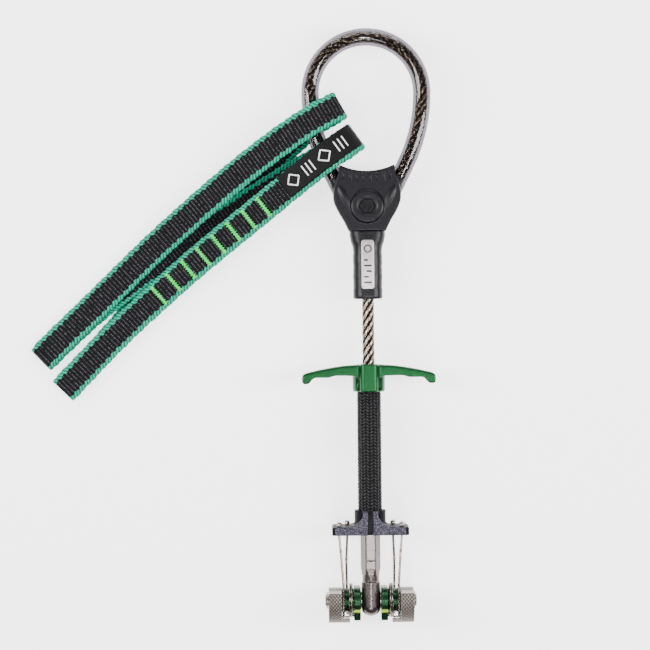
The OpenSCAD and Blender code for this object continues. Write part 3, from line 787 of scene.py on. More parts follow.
def add_lobes(bare, green, lime):
    for side_name, flip in (("left", True), ("right", False)):
        verts, faces, shaded_groove, _ = lobe_mesh(OUTER_LOBE_X, OUTER_LOBE_X + OUTER_LOBE_W)
        lip_z = [on_spiral(a, spiral_r(a))[1] for a in (LIP_ANGLE, TOE_ANGLE)]
        lip_back = np.column_stack([np.full(12, LIP_INNER_Y), np.linspace(*lip_z, 12)])
        lip_v, lip_f, lip_groove, _ = lobe_mesh(
            LIP_X, OUTER_LOBE_X + 0.4, TOE_ANGLE, LIP_ANGLE, lip_back)
        body_v, body_f = joined([(verts, faces), (lip_v, lip_f)])
        both_groove = np.concatenate([shaded_groove, lip_groove])
        bore, far = AXLE_R + 0.1, OUTER_LOBE_X + 0.2
        hub = lathe([(HUB_END_X, bore), (HUB_END_X, BARREL_HUB_R - 0.25), (HUB_END_X + 0.25, BARREL_HUB_R),
                     (8, BARREL_HUB_R), (8.15, BARREL_HUB_R - 0.15), (8.5, BARREL_HUB_R - 0.15),
                     (8.65, BARREL_HUB_R), (far, BARREL_HUB_R), (far, bore), (HUB_END_X, bore)], "X", 96)
        if flip:
            body_v, hub = mirrored(body_v), (mirrored(hub[0]), hub[1])
        body = f"outer_{side_name}_lobe"
        piece(f"outer_lobe_{side_name}", body_v, body_f, bare, body, [f"lobe_outer_{side_name}"],
              "lobe_green", {"shaded_groove": both_groove}, 34)
        piece(f"outer_hub_{side_name}", *hub, green, body, (), "lobe_green", sharp=34)
        verts, faces, shaded_groove, tread = lobe_mesh(INNER_LOBE_X, INNER_LOBE_X + INNER_LOBE_W)
        verts = mirrored(verts, 2)
        inner_face = np.abs(verts[:, 0] - INNER_LOBE_X - INNER_LOBE_W / 2) < INNER_LOBE_W / 2 - 0.001
        # Painted highlight: a lime band across the inner lobe's flat face on the +Z side, centred 3.5 mm down
        # Y from the axle.
        lime_highlight = np.clip(1 - np.abs((verts[:, 1] + 3.5) / 0.8) ** 6, 0, 1) * (verts[:, 2] > 0) * inner_face
        if flip:
            verts = mirrored(verts)
        piece(f"inner_lobe_{side_name}", verts, faces, lime, f"inner_{side_name}_lobe",
              [f"lobe_inner_{side_name}"], "lobe_green", {"shaded_groove": shaded_groove, "tread": tread, "lime_highlight": lime_highlight}, 34)


def green_lobe():
    """Green anodising with a bare knurled tread whose grooves are painted dark as shade, and a lime band
    painted on as a highlight.
    """
    shade = Shader("green_anodised_lobe", "#3C7A50", 0.3, 0.85)
    spots = shade.noise(0.25, 3)
    green = shade.spotted(spots, "#17361F", "#1C4226")
    # Painted highlight: the marked band turns lime, as a reflection of the light on the green face.
    green = shade.mix(shade.attribute("lime_highlight"), green, "#8FA800")
    # Painted shade: the knurl grooves on the bare tread go near black.
    bare = shade.mix(shade.attribute("shaded_groove"), "#7D746C", "#120F0D")
    shade.link("Base Color", shade.mix(shade.attribute("tread"), green, bare))
    shade.link("Roughness", shade.span(spots, 0.3, 0.7, 0.24, 0.42))
    shade.bump(spots, 0.015)
    return shade


# ---- Springs and trigger wires

def add_springs(steel):
    sweep = 720 - 2 * SPRING_PIN_ANGLE
    turns = np.linspace(9, sweep - 9, 140)
    angles = np.concatenate([[0, 0, 2], turns, [sweep - 2, sweep, sweep]])
    end_x = COIL_START_X + COIL_PITCH * sweep / 360
    xs = np.concatenate([
        [INNER_LOBE_X + INNER_LOBE_W - 1.4, COIL_START_X - 0.4, COIL_START_X - 0.1],
        COIL_START_X + COIL_PITCH * turns / 360, [end_x + 0.1, end_x + 0.4, OUTER_LOBE_X + 1.4]])
    t = np.radians(180 + SPRING_PIN_ANGLE + angles)
    path = np.column_stack([xs, COIL_R * np.cos(t), COIL_R * np.sin(t)])
    path = softened(path, 0.16, 0.35)
    middle = len(path) // 2
    halves = (("inner", path[:middle + 1]), ("outer", path[middle:]))
    for side_name, sign in (("left", -1), ("right", 1)):
        for half, line in halves:
            out = unit(line * (0, 1, 1))
            verts, faces = swept(line, circle(SPRING_WIRE_R, 14), out)
            nodes = [f"spring_{side_name}"] if half == "inner" else []
            obj = piece(f"spring_{half}_half_{side_name}", verts * (sign, 1, 1), faces, steel, "root", nodes,
                        "spring_steel")
            obj.parent = None
            del obj["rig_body"]
            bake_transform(obj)


def wire_line(pin_x, wire_x, bend, stop_x):
    elbow = 0.5
    side = 1 if pin_x > wire_x else -1
    centre = (wire_x + side * elbow, HOLE_Y + elbow)
    points = [(pin_x, HOLE_Y, HOLE_Z)]
    points += [(centre[0] - side * elbow * sin(a), centre[1] - elbow * cos(a), HOLE_Z)
               for a in np.linspace(0, pi / 2, 5)]
    points += [(wire_x, 6, HOLE_Z), bend, (stop_x, 22, STOP_Z), (stop_x, STOP_Y + STOP_H + 0.12, STOP_Z)]
    return softened(points, 0.15, 0.45)


def add_wires(steel, crimp_steel):
    kinds = {
        "outer": (wire_line(OUTER_LOBE_X + 1.6, 9.35, (10.1, 16.6, 3.9), 10.6), 16.6, 10.6, 1),
        "inner": (wire_line(INNER_LOBE_X + INNER_LOBE_W - 1.6, 8.15, (8.2, 13.5, 4.2), 7.8), 13.5, 7.8, -1),
    }
    for ring, (line, kink_y, stop_x, up) in kinds.items():
        flat = np.exp(-((line[:, 1] - kink_y) / 0.8) ** 2)
        section = circle(WIRE_R, 16)[None] * np.stack([1 - 0.28 * flat, 1 + 0.12 * flat], axis=1)[:, None]
        verts, faces = swept(line, section)
        crimp = lathe([(STOP_Y, 0.1), (STOP_Y, STOP_R - 0.18), (STOP_Y + 0.15, STOP_R),
                       (STOP_Y + 0.45, STOP_R - 0.1), (STOP_Y + 0.7, STOP_R - 0.1),
                       (STOP_Y + STOP_H - 0.15, STOP_R), (STOP_Y + STOP_H, STOP_R - 0.2),
                       (STOP_Y + STOP_H, 0.1), (STOP_Y, 0.1)], "Y", 28, (stop_x, 0, STOP_Z))
        for side_name, sign in (("left", -1), ("right", 1)):
            flip = (sign, 1, up)
            body = f"{ring}_{side_name}_wire"
            piece(f"trigger_wire_{ring}_{side_name}", verts * flip, faces, steel, body,
                  [f"wire_{ring}_{side_name}"], "spring_steel")
            piece(f"wire_crimp_{ring}_{side_name}", crimp[0] * flip, crimp[1], crimp_steel, body,
                  [f"stop_{ring}_{side_name}"], "spring_steel", sharp=40)


# ---- Slider, sheath and trigger

def slider_outline():
    """Front outline of the slider: a bar with two curved fins that rise to the boss."""
    fin_r, fin_x = 5.6, 7.9
    top = BOSS_TOP_Y
    first = acos(1 - 0.02)
    curve = [(fin_x - fin_r * cos(t), BAR_TOP_Y + fin_r * (1 - sin(t)))
             for t in np.linspace(asin((BAR_TOP_Y + fin_r - top) / fin_r), pi / 2 - first, 18)]
    right = [(curve[0][0], top)] + curve
    right += [(SLIDER_HALF_L - 0.5, BAR_TOP_Y), (SLIDER_HALF_L, BAR_TOP_Y - 0.35), (SLIDER_HALF_L, BAR_Y)]
    return np.array([(-x, y) for x, y in reversed(right)] + right)


def y_cylinder(r0, r1, y0, y1):
    return solid(*lathe([(y0, r0), (y1, r1)], "Y"))


def add_slider(shade):
    base = prism(slider_outline(), -SLIDER_HALF_T, SLIDER_HALF_T)
    boss_r = 5.3
    base = combined("slider_machined", base, [
        y_cylinder(boss_r, boss_r, BAR_Y, BOSS_TOP_Y + 0.02),
        y_cylinder(6.2, boss_r, BAR_TOP_Y - 0.5, BAR_TOP_Y + 1.5),
    ], "UNION")
    cuts = []
    for front in (-1, 1):
        low, high = sorted((front * (boss_r - 0.3), front * 9))
        cuts.append(box_solid((-0.95, BAR_Y - 1, low), (0.95, BOSS_TOP_Y + 1, high)))
        for s in (-1, 1):
            corner = lathe([(BAR_Y - 1, 1.0), (BOSS_TOP_Y + 1, 1.0)], "Y", 4,
                           (s * SLIDER_HALF_L, 0, front * SLIDER_HALF_T))
            cuts.append(solid(*corner))
    cuts.append(y_cylinder(BARREL_R + 0.1, BARREL_R + 0.1, BAR_Y - 1, 25))
    cuts.append(y_cylinder(SHEATH_R + 0.02, SHEATH_R + 0.02, SHEATH_Y, BOSS_TOP_Y + 1))
    low, high = STOP_Z - WIRE_R - 0.2, STOP_Z + WIRE_HOLE_R - HOLE_Z + WIRE_R + 0.2
    for s in (-1, 1):
        for x, front in ((10.6, 1), (7.8, -1)):
            z0, z1 = sorted((front * low, front * high))
            cuts.append(box_solid((s * x - 0.62, BAR_Y - 1, z0), (s * x + 0.62, BAR_TOP_Y + 1, z1)))
    base = combined("slider_machined", base, cuts, "DIFFERENCE")
    bevel = base.modifiers.new("edges", "BEVEL")
    bevel.width = 0.12 * MM
    bevel.segments = 2
    bevel.limit_method = "ANGLE"
    bevel.angle_limit = radians(40)
    finished(bake(base), shade, "trigger", ["slider"], 35)


def add_sheath(shade, liner_shade):
    """Braided sheath: columns of slanted stitches that lean left and right in turn."""
    columns, per_column, pitch = 20, 11, 1.05
    cols = columns * per_column
    angle = around(cols)
    place = np.arange(cols) / per_column
    u = place % 1
    lean = np.where(place.astype(int) % 2 == 0, 1, -1)
    y0, y1 = SHEATH_Y + 0.03, SHEATH_END_Y - 0.03
    ys = np.arange(y0 + 0.1, y1 - 0.1, 0.09)
    rows, deep = [], []
    for y in ys:
        w = (y / pitch + lean * (u - 0.5) * 0.95 + 0.07 * np.sin(y * 1.3 + place)) % 1
        stitch = np.sin(pi * w) ** 0.9 * np.sin(pi * np.clip(u, 0.02, 0.98)) ** 0.5
        proud = 0.16 * min(1, max(0, min(y - BOSS_TOP_Y, TRIGGER_Y - y) / 0.6))
        r = SHEATH_R + proud - 0.5 * (1 - stitch)
        rows.append(ring_at(y, r, angle))
        # Painted shade: the gaps between stitches are marked to go black.
        deep.append(np.clip(2.2 * (1 - stitch), 0, 1))
    rows = [ring_at(y0, SHEATH_BORE_R, angle)] + rows + [ring_at(y1, SHEATH_BORE_R, angle)]
    # Painted shade: the end rings are marked black too.
    deep = [np.ones(cols)] + deep + [np.ones(cols)]
    piece("sheath_braid", np.concatenate(rows), ring_faces(len(rows), cols, True), shade, "trigger",
          ["braided_sheath"], "black_braid", {"shaded_groove": np.concatenate(deep)})
    recolour("sheath_liner", liner_shade)


def trigger_arm_outline():
    """Front outline of the trigger's two arms, drooping to hooked tips."""
    tip = TRIGGER_HALF_SPAN
    right = [(6.2, 76.3), (11.3, 76.4), (12.5, 76.1), (13.6, 75.72), (18.2, 75.75), (19.2, 75.2),
             (tip - 2.8, 74.1), (tip - 2.1, 73.65), (tip - 0.8, 73.6), (tip - 0.2, 73.9), (tip, 74.6),
             (tip, 76), (tip - 0.35, 76.85), (tip - 1.5, 77.4), (17, 78.4), (12, 79.3), (8, 79.85), (4, 80)]
    radii = [0, 0.8, 0.6, 1, 1.2, 0.9, 0.6, 0.5, 0.5, 0.4, 0.5, 0.6, 0.7, 1, 2, 2, 2, 0]
    outline = rounded(right, radii, 4)
    return np.concatenate([outline, outline[::-1] * (-1, 1)])


def add_trigger(shade):
    arms = slab(trigger_arm_outline(), -TRIGGER_HALF_T, TRIGGER_HALF_T, 0.7, 4)
    boss_half_w, column_half_w, column_half_t = 5.5, 3.05, 5.95
    boss_top = TRIGGER_TOP_Y - 0.1
    boss = lathe([(TRIGGER_Y, 0.01), (TRIGGER_Y, boss_half_w - 0.8), (TRIGGER_Y + 0.25, boss_half_w - 0.2),
                  (TRIGGER_Y + 0.8, boss_half_w), (79.6, boss_half_w), (boss_top, boss_half_w - 0.5),
                  (boss_top, 0.01)], "Y", 96)
    column_outline = rounded([(-column_half_w, -column_half_t), (column_half_w, -column_half_t),
                              (column_half_w, column_half_t), (-column_half_w, column_half_t)], 1.7, 6)
    column, column_faces = slab(column_outline, TRIGGER_Y + 0.1, TRIGGER_TOP_Y, 0.3, 3)
    column = column[:, [0, 2, 1]]
    base = solid(*joined([arms, boss, (column, column_faces)]))
    base = remeshed(base)
    cuts = []
    for front in (-1, 1):
        for s in (-1, 1):
            low, high = sorted((front * 3.2, front * 7))
            x0, x1 = sorted((s * (column_half_w + 0.05), s * 4.65))
            y0, y1 = TRIGGER_Y + 0.65, 75.5
            pocket = rounded([(x0, y0), (x1, y0), (x1, y1), (x0, y1)], 0.35, 3)
            cuts.append(prism(pocket, low, high))
    cuts.append(y_cylinder(ROPE_R + 0.08, ROPE_R + 0.08, TRIGGER_Y - 1, 82))
    cuts.append(y_cylinder(SHEATH_R + 0.02, SHEATH_R + 0.02, TRIGGER_Y - 1, SHEATH_END_Y))
    base = combined("trigger_bar_cast", base, cuts, "DIFFERENCE")
    finished(smoothed(base, 4), shade, "trigger", ["trigger_bar"])


# ---- Wire rope, clear tube, sleeve and plate

def loop_line(start):
    """The thumb loop's line, from a point on its straight leg round to the same point on the left."""
    side_x = LOOP_TOP_R - SIDE_R
    first = asin((LOOP_TOP_Y - LEG_TOP[1]) / SIDE_R)
    half = [(start[0], start[1], 0)]
    half += [(side_x + SIDE_R * cos(a), LOOP_TOP_Y + SIDE_R * sin(a), 0) for a in np.linspace(-first, 0, 40)]
    half += [(LOOP_TOP_R * cos(a), LOOP_TOP_Y + LOOP_TOP_R * sin(a), 0)
             for a in np.linspace(0, pi / 2, 40)[1:]]
    half = np.array(half)
    return np.concatenate([half, half[-2::-1] * (-1, 1, 1)])


def add_rope(shade):
    """Six strands, each of nine visible wires, laid round a core along the stem, the loop and the tail."""
    loop = loop_line((LEG_X + 0.3, LEG_Y + 0.6))
    path = np.concatenate([
        [(0, ROPE_Y, 0), (0, SHIFT_Y, 0), (LEG_X, 114, 0), (LEG_X, LEG_Y - 0.6, 0)],
        loop, [(-LEG_X, LEG_Y - 0.6, 0), (-LEG_X, 115.5, 0)]])
    path = softened(path, 0.4, 1.4)
    length = lengths(path)
    run = runs(path)
    up = np.broadcast_to((0.0, 0.0, 1.0), path.shape)
    across = unit(np.cross(run, up))
    strand_r, lay, wire_lay, strands, wires = 0.73, 18.7, -30.0, 6, 9
    wire_r = 0.045
    cols = wires * 4
    theta = around(cols)
    outline = strand_r - wire_r * (0.5 + 0.5 * np.cos(theta * wires))
    parts, deep = [], []
    for strand in range(strands):
        phase = 2 * pi * (length / lay + strand / strands)
        out = np.cos(phase)[:, None] * up + np.sin(phase)[:, None] * across
        centre = path + (ROPE_R - strand_r) * out
        strand_run = runs(centre)
        b = unit(np.cross(strand_run, out))
        a = np.cross(b, strand_run)
        turn = theta[None] - 2 * pi * length[:, None] / wire_lay
        verts = centre[:, None] + outline[None, :, None] * (
            np.cos(turn)[..., None] * a[:, None] + np.sin(turn)[..., None] * b[:, None])
        parts.append((verts.reshape(-1, 3), ring_faces(len(path), cols)))
        # Painted shade: the creases between wires and the strand sides turned in towards the core are marked
        # dark.
        facing = np.cos(turn)
        crease = (strand_r - outline) / wire_r
        deep.append(np.clip(0.12 * crease[None] + np.clip((0.78 - facing) / 0.3, 0, 1), 0, 1).ravel())
    parts.append(swept(path, circle(0.85, 10)))
    # Painted shade: the core is marked dark all over.
    deep.append(np.ones(len(parts[-1][0])))
    verts, faces = joined(parts)
    # Painted shade: the rope is marked for its darker colour inside the clear tube.
    tube_shade = np.clip((verts[:, 1] - REST_Y) / 2, 0, 1)
    piece("stranded_wire_rope", verts, faces, shade, "root", ["wire_rope"], "wire_rope",
          {"shaded_groove": np.concatenate(deep), "tube_shade": tube_shade})


def add_loop_tube(shade):
    path = softened(loop_line(TUBE_START), 1.0, 1.2)
    path[0, :2], path[-1, :2] = TUBE_START, (-TUBE_START[0], TUBE_START[1])
    outer, _ = swept(path, circle(TUBE_R, 40))
    inner, _ = swept(path, circle(ROPE_R + 0.08, 40))
    rows, cols = len(path), 40
    verts = np.concatenate([outer, inner[::-1].reshape(rows, cols, 3)[:, ::-1].reshape(-1, 3)])
    piece("clear_loop_tube", verts, ring_faces(2 * rows, cols, True), shade, "root", ["loop_tube"],
          "clear_plastic", sharp=60)


def stadium(half_w, half_t):
    ends = []
    for s, first in ((1, -pi / 2), (-1, pi / 2)):
        for t in np.linspace(first, first + pi, 28):
            ends.append((s * (half_w - half_t) + half_t * cos(t), half_t * sin(t)))
    return np.array(ends)


def add_sleeve(shade, metal):
    half_w, half_t, flare_w, rim = 5.0, 3.4, 6.15, 0.7
    levels = [(SLEEVE_Y + rim * (1 - cos(t)), rim * (1 - sin(t))) for t in np.linspace(0, pi / 2, 7)]
    levels += [(y, 0.0) for y in np.linspace(104, 124.8, 60)]
    levels += [(SLEEVE_END_Y - 0.3 * (1 - sin(t)), 0.3 * (1 - cos(t))) for t in np.linspace(0, pi / 2, 5)]
    rows = []
    for y, inset in levels:
        t = np.clip((y - 118.8) / 5.6, 0, 1)
        w = half_w + (flare_w - half_w) * t * t * (3 - 2 * t)
        w += 0.05 * sin(y * 1.1) + 0.03 * sin(y * 2.7)
        flat = stadium(w - inset - 0.05, half_t - inset)
        rows.append(np.column_stack([flat[:, 0], np.full(len(flat), y), flat[:, 1]]))
    piece("ferrule_sleeve_shrunk", np.concatenate(rows), ring_faces(len(levels), len(rows[0])), shade,
          "root", ["ferrule_sleeve"], "black_sleeve", sharp=60)
    recolour("ferrule", metal)


def add_plate(metal, ink):
    w, y0, y1, z, t = 4.25, 105.7, 122.3, 3.42, 0.5
    outline = rounded([(-w / 2, y0), (w / 2, y0), (w / 2, y1), (-w / 2, y1)], 1, 8)
    piece("label_plate_foil", *slab(outline, z, z + t, 0.14, 3), metal, "root", ["label_plate"],
          "label_metal", sharp=50)
    top, bars = z + t - 0.012, []
    bar_ends = ((-1.35, 1.35), (-1.35, 0.4), (-0.5, 1.35), (-1.35, 1.35), (-1.35, 0.1))
    for i, (low, high) in enumerate(bar_ends):
        y = 107.6 + i * 1.9
        bar = rounded([(low, y), (high, y), (high, y + 0.62), (low, y + 0.62)], 0.28, 4)
        bars.append(slab(bar, top - 0.03, top + 0.03, 0.02, 1))
    ring_r, ring_y = 1.15, 119.3
    ring_line = np.array([(ring_r * cos(a), ring_y + ring_r * sin(a), top) for a in around(48)])
    section = np.array([(-0.03, -0.24), (0.03, -0.24), (0.03, 0.24), (-0.03, 0.24)])
    bars.append(swept_ring(ring_line, section))
    piece("label_plate_marks", *joined(bars), ink, "root", (), "label_metal", sharp=40)


def swept_ring(line, section):
    run = unit(np.roll(line, -1, axis=0) - np.roll(line, 1, axis=0))
    b = unit(np.cross(run, (0, 0, 1)))
    verts = line[:, None] + section[None, :, :1] * np.array((0, 0, 1.0)) + section[None, :, 1:] * b[:, None]
    return verts.reshape(-1, 3), ring_faces(len(line), len(section), True)


# ---- Thumb rest

def rest_outline():
    top_r = 21
    right = [(6.25, REST_Y - 0.35), (8, 129), (10.1, 132.4), (11.5, 135.8), (11.5, 138.6), (10.6, 142),
             (9.7, 145), (9.3, 147.85)]
    right = list(map(tuple, rounded(right, [0.15, 1.5, 1.5, 1.5, 1.5, 1.5, 1, 0], 4)))
    top = [(top_r * sin(a), 145.7 + top_r - top_r * cos(a)) for a in np.linspace(0, asin(9.2 / top_r), 12)]
    half = right + top[::-1][1:-1]
    return np.array([(-x, y) for x, y in half[::-1]] + half)


def leg_point(t):
    start, end = np.array((*TUBE_START, 0.0)), np.array((*LEG_TOP, 0.0))
    return start + (end - start) * t


def add_thumb_rest(shade, dark_steel):
    for name, node, up in (("front", "thumb_rest_front", 1), ("back", "thumb_rest_back", -1)):
        outline = rest_outline()
        parts = [slab(outline, 0.03, REST_HALF_T - 0.45, 0.3, 3)]
        for s in (-1, 1):
            line = np.linspace(leg_point(0.02), leg_point(0.8), 24) * (s, 1, 1)
            taper = np.sin(np.linspace(0.25, pi - 0.5, 24)) ** 0.5
            ridge = circle(1, 28)[None] * np.stack([REST_HALF_T * taper * 0.99, 3.1 * taper], axis=1)[:, None]
            verts, faces = swept(line, ridge)
            verts[:, 2] = np.maximum(verts[:, 2], 0.03)
            parts.append((verts, faces))
        parts.append(lathe_z([(0.03, 0.01), (0.03, 5.6), (4.5, 5.65), (4.95, 5.45), (5.1, 5.0), (5.1, 3.5),
                              (4.9, 3.3), (4.9, 0.01)], SCREW_Y))
        base = smoothed(remeshed(solid(*joined(parts))), 3)
        cuts = [solid(*lathe_z([(SCREW_HEAD_Z, 2.86), (9, 2.86)], SCREW_Y, 6))]
        if up > 0:
            for i in range(8):
                x = (i - 3.5) * 2.27
                y = 141.8 + 0.012 * x * x
                cuts.append(box_solid((x - 0.36, y, REST_HALF_T - 1.0), (x + 0.36, y + 3.0, 7)))
        for s in (-1, 1):
            a, b = leg_point(-0.2) * (s, 1, 1), leg_point(1.2) * (s, 1, 1)
            cuts.append(solid(*swept(np.array([a, b]), circle(TUBE_R + 0.03, 40))))
        base = combined(f"thumb_rest_{name}_moulded", base, cuts, "DIFFERENCE")
        smoothed(base, 2)
        if up < 0:
            base.data.transform(MIRROR_Z)
            base.data.flip_normals()
        finished(base, shade, "root", [node])
    head = [(SCREW_HEAD_Z + 0.03, 0.01), (SCREW_HEAD_Z + 0.03, 2.7), (4.85, 2.7), (4.99, 2.52),
            (4.99, 1.5), (4.0, 1.4), (4.0, 0.01)]
    nut = [(-z, r) for z, r in head]
    for name, profile in (("screw", head), ("nut", nut)):
        piece(f"thumb_rest_hex_{name}", *lathe_z(profile, SCREW_Y, 6), dark_steel, "root",
              [f"thumb_rest_{name}"], "swaged_steel", sharp=20)


def lathe_z(profile, y, sides=72):
    """A (height, radius) profile turned round Z at a place on the stem's line."""
    t = around(sides)
    rows = [np.column_stack([r * np.cos(t), y + r * np.sin(t), np.full(sides, z)]) for z, r in profile]
    return np.concatenate(rows), ring_faces(len(profile), sides)


# ---- Sling

def route_at(u):
    """Place and heading on the sling's round at route parameters u, on a centripetal curve."""
    n = len(SLING_ROUTE)
    u = np.asarray(u, float) % n
    i = np.floor(u).astype(int) % n
    p = [SLING_ROUTE[(i + k) % n] for k in (-1, 0, 1, 2)]
    spans = [np.linalg.norm(p[k + 1][:, :3] - p[k][:, :3], axis=1) for k in range(3)]
    gaps = [np.sqrt(np.maximum(span, 1e-6)) for span in spans]
    t0 = np.zeros(len(u))
    t1, t2, t3 = t0 + gaps[0], t0 + gaps[0] + gaps[1], t0 + gaps[0] + gaps[1] + gaps[2]
    t = t1 + (t2 - t1) * (u - np.floor(u))

    def between(a, b, ta, tb):
        return ((tb - t) / (tb - ta))[:, None] * a + ((t - ta) / (tb - ta))[:, None] * b

    a1, a2, a3 = between(p[0], p[1], t0, t1), between(p[1], p[2], t1, t2), between(p[2], p[3], t2, t3)
    return between(between(a1, a2, t0, t2), between(a2, a3, t1, t3), t1, t2)


def sling_frames(u):
    """Centre, width direction and upward direction of the webbing at route parameters u."""
    here = route_at(u)
    run = route_at(u + 0.02)[:, :3] - route_at(u - 0.02)[:, :3]
    heading = np.radians(here[:, 3])
    across = np.column_stack([-np.sin(heading), np.cos(heading), np.zeros(len(u))])
    return here[:, :3], across, unit(np.cross(run, across))


def even_parameters(start, end, step):
    fine = np.linspace(start, end, int((end - start) * 200) + 1)
    place = route_at(fine)[:, :3]
    length = lengths(place)
    count = max(int(round(length[-1] / step)), 2)
    at = np.linspace(0, length[-1], count + 1)
    return np.interp(at, length, fine), at


def round_off(t):
    """Height of a rounded edge, from 1 where t is 0 down to 0 where t is 1."""
    return np.sqrt(np.clip(1 - np.clip(t, 0, 1) ** 2, 0, 1))


def webbing_section(along):
    """The webbing's section at each place along it, as across and height, with ribs and rolled edges."""
    half_w, half_t, per_side = WEB_W / 2, WEB_T / 2, 26
    c = np.sin(np.linspace(-pi / 2, pi / 2, per_side)) * 0.35 + np.linspace(-1, 1, per_side) * 0.65
    edge = np.clip((np.abs(c) - 0.68) / 0.06, 0, 1)
    rim = round_off((np.abs(c) - 0.88) / 0.12)
    rib = np.abs(np.sin(pi * along / RIB_PITCH))[:, None]
    knit = np.sin(2 * pi * along / KNIT_PITCH)[:, None] * 0.5 + 0.5
    height = half_t * rim * ((1 - edge) * (0.8 + 0.2 * rib) + edge * (0.92 + 0.12 * knit))
    waver = 0.13 * np.sin(2 * pi * along / WAVER_PITCH) + 0.08 * np.sin(2 * pi * along / 7.3 + 1)
    side = c[None] * (half_w + waver[:, None] * np.abs(c[None]) ** 3)
    across = np.concatenate([side, side[:, -2:0:-1]], axis=1)
    up = np.concatenate([height, -height[:, -2:0:-1]], axis=1)
    return across, up


def webbing_strip(u, along, offset=0.0, closed=False):
    centre, aside, up = sling_frames(u)
    across, height = webbing_section(along)
    height = (height + offset)[..., None]
    verts = centre[:, None] + across[..., None] * aside[:, None] + height * up[:, None]
    rows, cols = across.shape
    attributes = {"along": np.repeat(along, cols), "across": across.ravel()}
    return verts.reshape(-1, 3), ring_faces(rows, cols, closed), attributes


def surface_strip(u, across, bottom, top):
    """A thin patch on the webbing: its top is a grid of heights over u and across, its bottom is level."""
    centre, aside, up = sling_frames(u)
    side = np.concatenate([across, across[::-1]])
    height = np.concatenate([top, np.full((len(u), len(across)), bottom)], axis=1)
    verts = centre[:, None] + side[None, :, None] * aside[:, None] + height[..., None] * up[:, None]
    return verts.reshape(-1, 3), ring_faces(len(u), len(side))


def add_sling(cloth, thread, label_cloth, pattern_thread):
    n = len(SLING_ROUTE)
    u, along = even_parameters(0, n, 0.22)
    verts, faces, attributes = webbing_strip(u[:-1], along[:-1], 0, True)
    lap_u, lap_along = even_parameters(*LAP, 0.22)
    lap_verts, lap_faces, lap_attributes = webbing_strip(lap_u, lap_along, -WEB_T - LAP_GAP)
    all_verts, all_faces = joined([(verts, faces), (lap_verts, lap_faces)])
    both = {key: np.concatenate([attributes[key], lap_attributes[key]]) for key in attributes}
    webbing = piece("sling_ribbed_webbing", all_verts, all_faces, cloth, "sling", ["sling_webbing"],
                    "webbing", both)
    tacks = [tack_mesh(u, i) for i, u in enumerate(TACKS)]
    tack = piece("sling_stitched_tacks", *joined(tacks), thread, "sling", ["sling_bar_tacks"], "tack_thread")
    label_u, label_along = even_parameters(*LABEL, 0.3)
    low, high = -3.55, WEB_W / 2 - 0.05
    across = np.linspace(low, high, 40)
    off = np.abs(across - (low + high) / 2) - (high - low) / 2 + 0.5
    rim = round_off(off / 0.5)
    weave = 0.36 + 0.012 * np.sin(2 * pi * label_along / 0.6)
    top = WEB_T / 2 + 0.02 + weave[:, None] * (0.25 + 0.75 * rim)[None]
    label_verts, label_faces = surface_strip(label_u, across, WEB_T / 2 - 0.25, top)
    label = piece("sling_woven_label", label_verts, label_faces, label_cloth, "sling", ["sling_label"],
                  "label_fabric")
    marks = label_pattern(label_u, label_along)
    pattern = piece("sling_label_pattern", *joined(marks), pattern_thread, "sling", (), "label_fabric")


def tack_mesh(u, index):
    """One bar tack: short threads side by side across the webbing, with a foot at each end."""
    half_w, half_l = 4.0, 0.62
    speed = np.linalg.norm(np.diff(route_at(np.array([u - 0.01, u + 0.01]))[:, :3], axis=0)) / 0.02
    along = np.linspace(-1.1, 1.1, 26)
    at = u + along / speed
    across = np.linspace(-half_w, half_w, 110)
    uneven = 0.7 + 0.3 * np.sin(across * 1.7 + 3 * index)
    jag = 0.42 * np.sin(across * 2 * pi / 0.92 + index) * uneven + 0.05 * np.sin(across * 5.1 + 2 * index)
    foot = 0.3 * np.exp(-((np.abs(across) - half_w + 0.35) / 0.3) ** 2)
    reach = half_l + foot
    inside = 1 - ((along[:, None] - jag[None] * 0.8) / reach[None]) ** 2
    ends = np.sqrt(np.clip((half_w - np.abs(across)) / 0.25, 0, 1))
    threads = 0.62 + 0.38 * np.abs(np.sin(pi * across[None] / 0.46 + 1.1 * along[:, None]))
    height = (0.3 + 0.34 * threads) * np.sqrt(np.clip(inside, 0, 1)) * ends[None]
    return surface_strip(at, across, WEB_T / 2 - 0.3, WEB_T / 2 - 0.25 + height)


def label_pattern(label_u, label_along):
    """A generic woven pattern: outlined diamonds and bars in a row along the label."""
    shapes = []
    spacing, first, half_l = 6.6, 4.2, 2.4
    for i in range(int((label_along[-1] - 7.6) / spacing) + 1):
        middle = first + i * spacing
        if i % 2 == 0:
            ends = (middle - half_l, 0.7), (middle + half_l, 0.7)
            shapes.append([ends[0], (middle, 3.0), ends[1], (middle, -1.6), ends[0]])
        else:
            shapes += [[(middle + k, -1.3), (middle + k, 2.7)] for k in (-1.6, 0, 1.6)]
    marks = []
    for shape in shapes:
        flat = resampled(shape, 0.25)
        u = np.interp(flat[:, 0], label_along, label_u)
        centre, aside, up = sling_frames(u)
        line = centre + flat[:, 1:2] * aside + (WEB_T / 2 + 0.38) * up
        section = np.column_stack([0.08 * np.sin(around(8)), 0.24 * np.cos(around(8))])
        marks.append(swept(line, section, up))
    return marks


# ---- Build

add_camera()
add_studio()

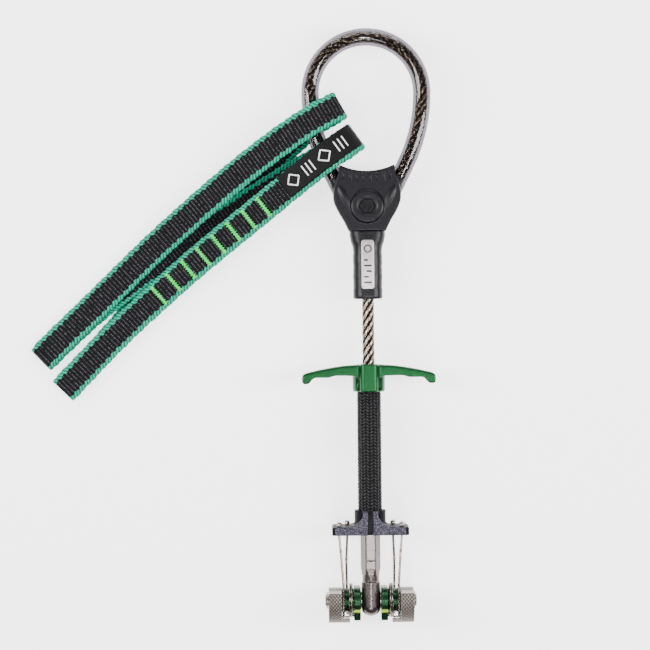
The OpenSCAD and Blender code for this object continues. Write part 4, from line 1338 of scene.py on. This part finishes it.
forged_steel = mottled("forged_steel", "#625B58", "#686160", 0.28, 1.0, 0.7, (1, 3, 1), 0.001)
plain_steel = mottled("plain_steel", "#7A726E", "#88807D", 0.26, 1.0, 0.6, depth=0.002)
drawn_steel = mottled("drawn_steel", "#6E6460", "#82776F", 0.22, 1.0, 0.5, (1, 6, 1), 0.001)
crimp_steel = mottled("crimp_steel", "#9A8A88", "#B5A5A2", 0.3, 1.0, 0.4)
black_steel = mottled("blackened_steel", "#0A0A0B", "#161517", 0.35, 0.6, 0.4)
rope_steel = rope_metal()
# Painted shade: #120F0D is the near-black put into the knurl grooves.
bare_metal = groove_shaded("bare_lobe_metal", "#120F0D", "#7A726B", "#8C847D", 0.42, 0.8, 0.5, 0.02)
hub_green = mottled("green_anodised_hub", "#17361F", "#1B4024", 0.3, 0.85, 0.7, depth=0.015)
trigger_green = mottled("green_blasted", "#0B4220", "#0E4A24", 0.34, 0.8, 0.35, depth=0.02)
slider_dark = slider_metal()
sleeve_black = mottled("sleeve_black", "#09070C", "#100D14", 0.34, 0.0, 2.5, depth=0.05,
                       Specular_IOR_Level=0.25)
plastic_black = mottled("plastic_black", "#09070C", "#100D14", 0.34, 0.0, 0.5, Specular_IOR_Level=0.26)
# Painted shade: #000000 between the stitches; the grey #505054 on their crests is partly painted highlight,
# partly the braid's own tone.
braid_black = groove_shaded("braid_black", "#000000", "#151517", "#505054", 0.45, 0.0, 0.3, 0.02)
braid_black.surface.inputs["Specular IOR Level"].default_value = 0.2
plate_metal = mottled("plate_metal", "#B5ABAD", "#D6CCCE", 0.36, 0.7, 0.3, (8, 1, 1), 0.01)
plate_ink = mottled("plate_ink", "#17161A", "#26252A", 0.5, 0.0, 0.5)
tack_green = mottled("tack_thread_green", "#00A838", "#00FF66", 0.6, 0.0, 0.4, depth=0.04)
label_black = mottled("label_black", "#040405", "#0B0B0C", 0.6, 0.0, 0.35, (4, 1, 1), 0.04,
                      Specular_IOR_Level=0.15)
label_white = mottled("label_white", "#E4E2E8", "#FFFFFF", 0.65, 0.0, 0.3, depth=0.04)

add_sling(webbing_cloth(), tack_green, label_black, label_white)
add_head(forged_steel)
add_axle(plain_steel)
add_lobes(bare_metal, hub_green, green_lobe())
add_springs(drawn_steel)
add_wires(drawn_steel, crimp_steel)
add_slider(slider_dark)
add_sheath(braid_black, clear_plastic())
add_trigger(trigger_green)
add_rope(rope_steel)
add_loop_tube(clear_plastic())
add_sleeve(sleeve_black, bare_metal)
add_plate(plate_metal, plate_ink)
add_thumb_rest(plastic_black, black_steel)
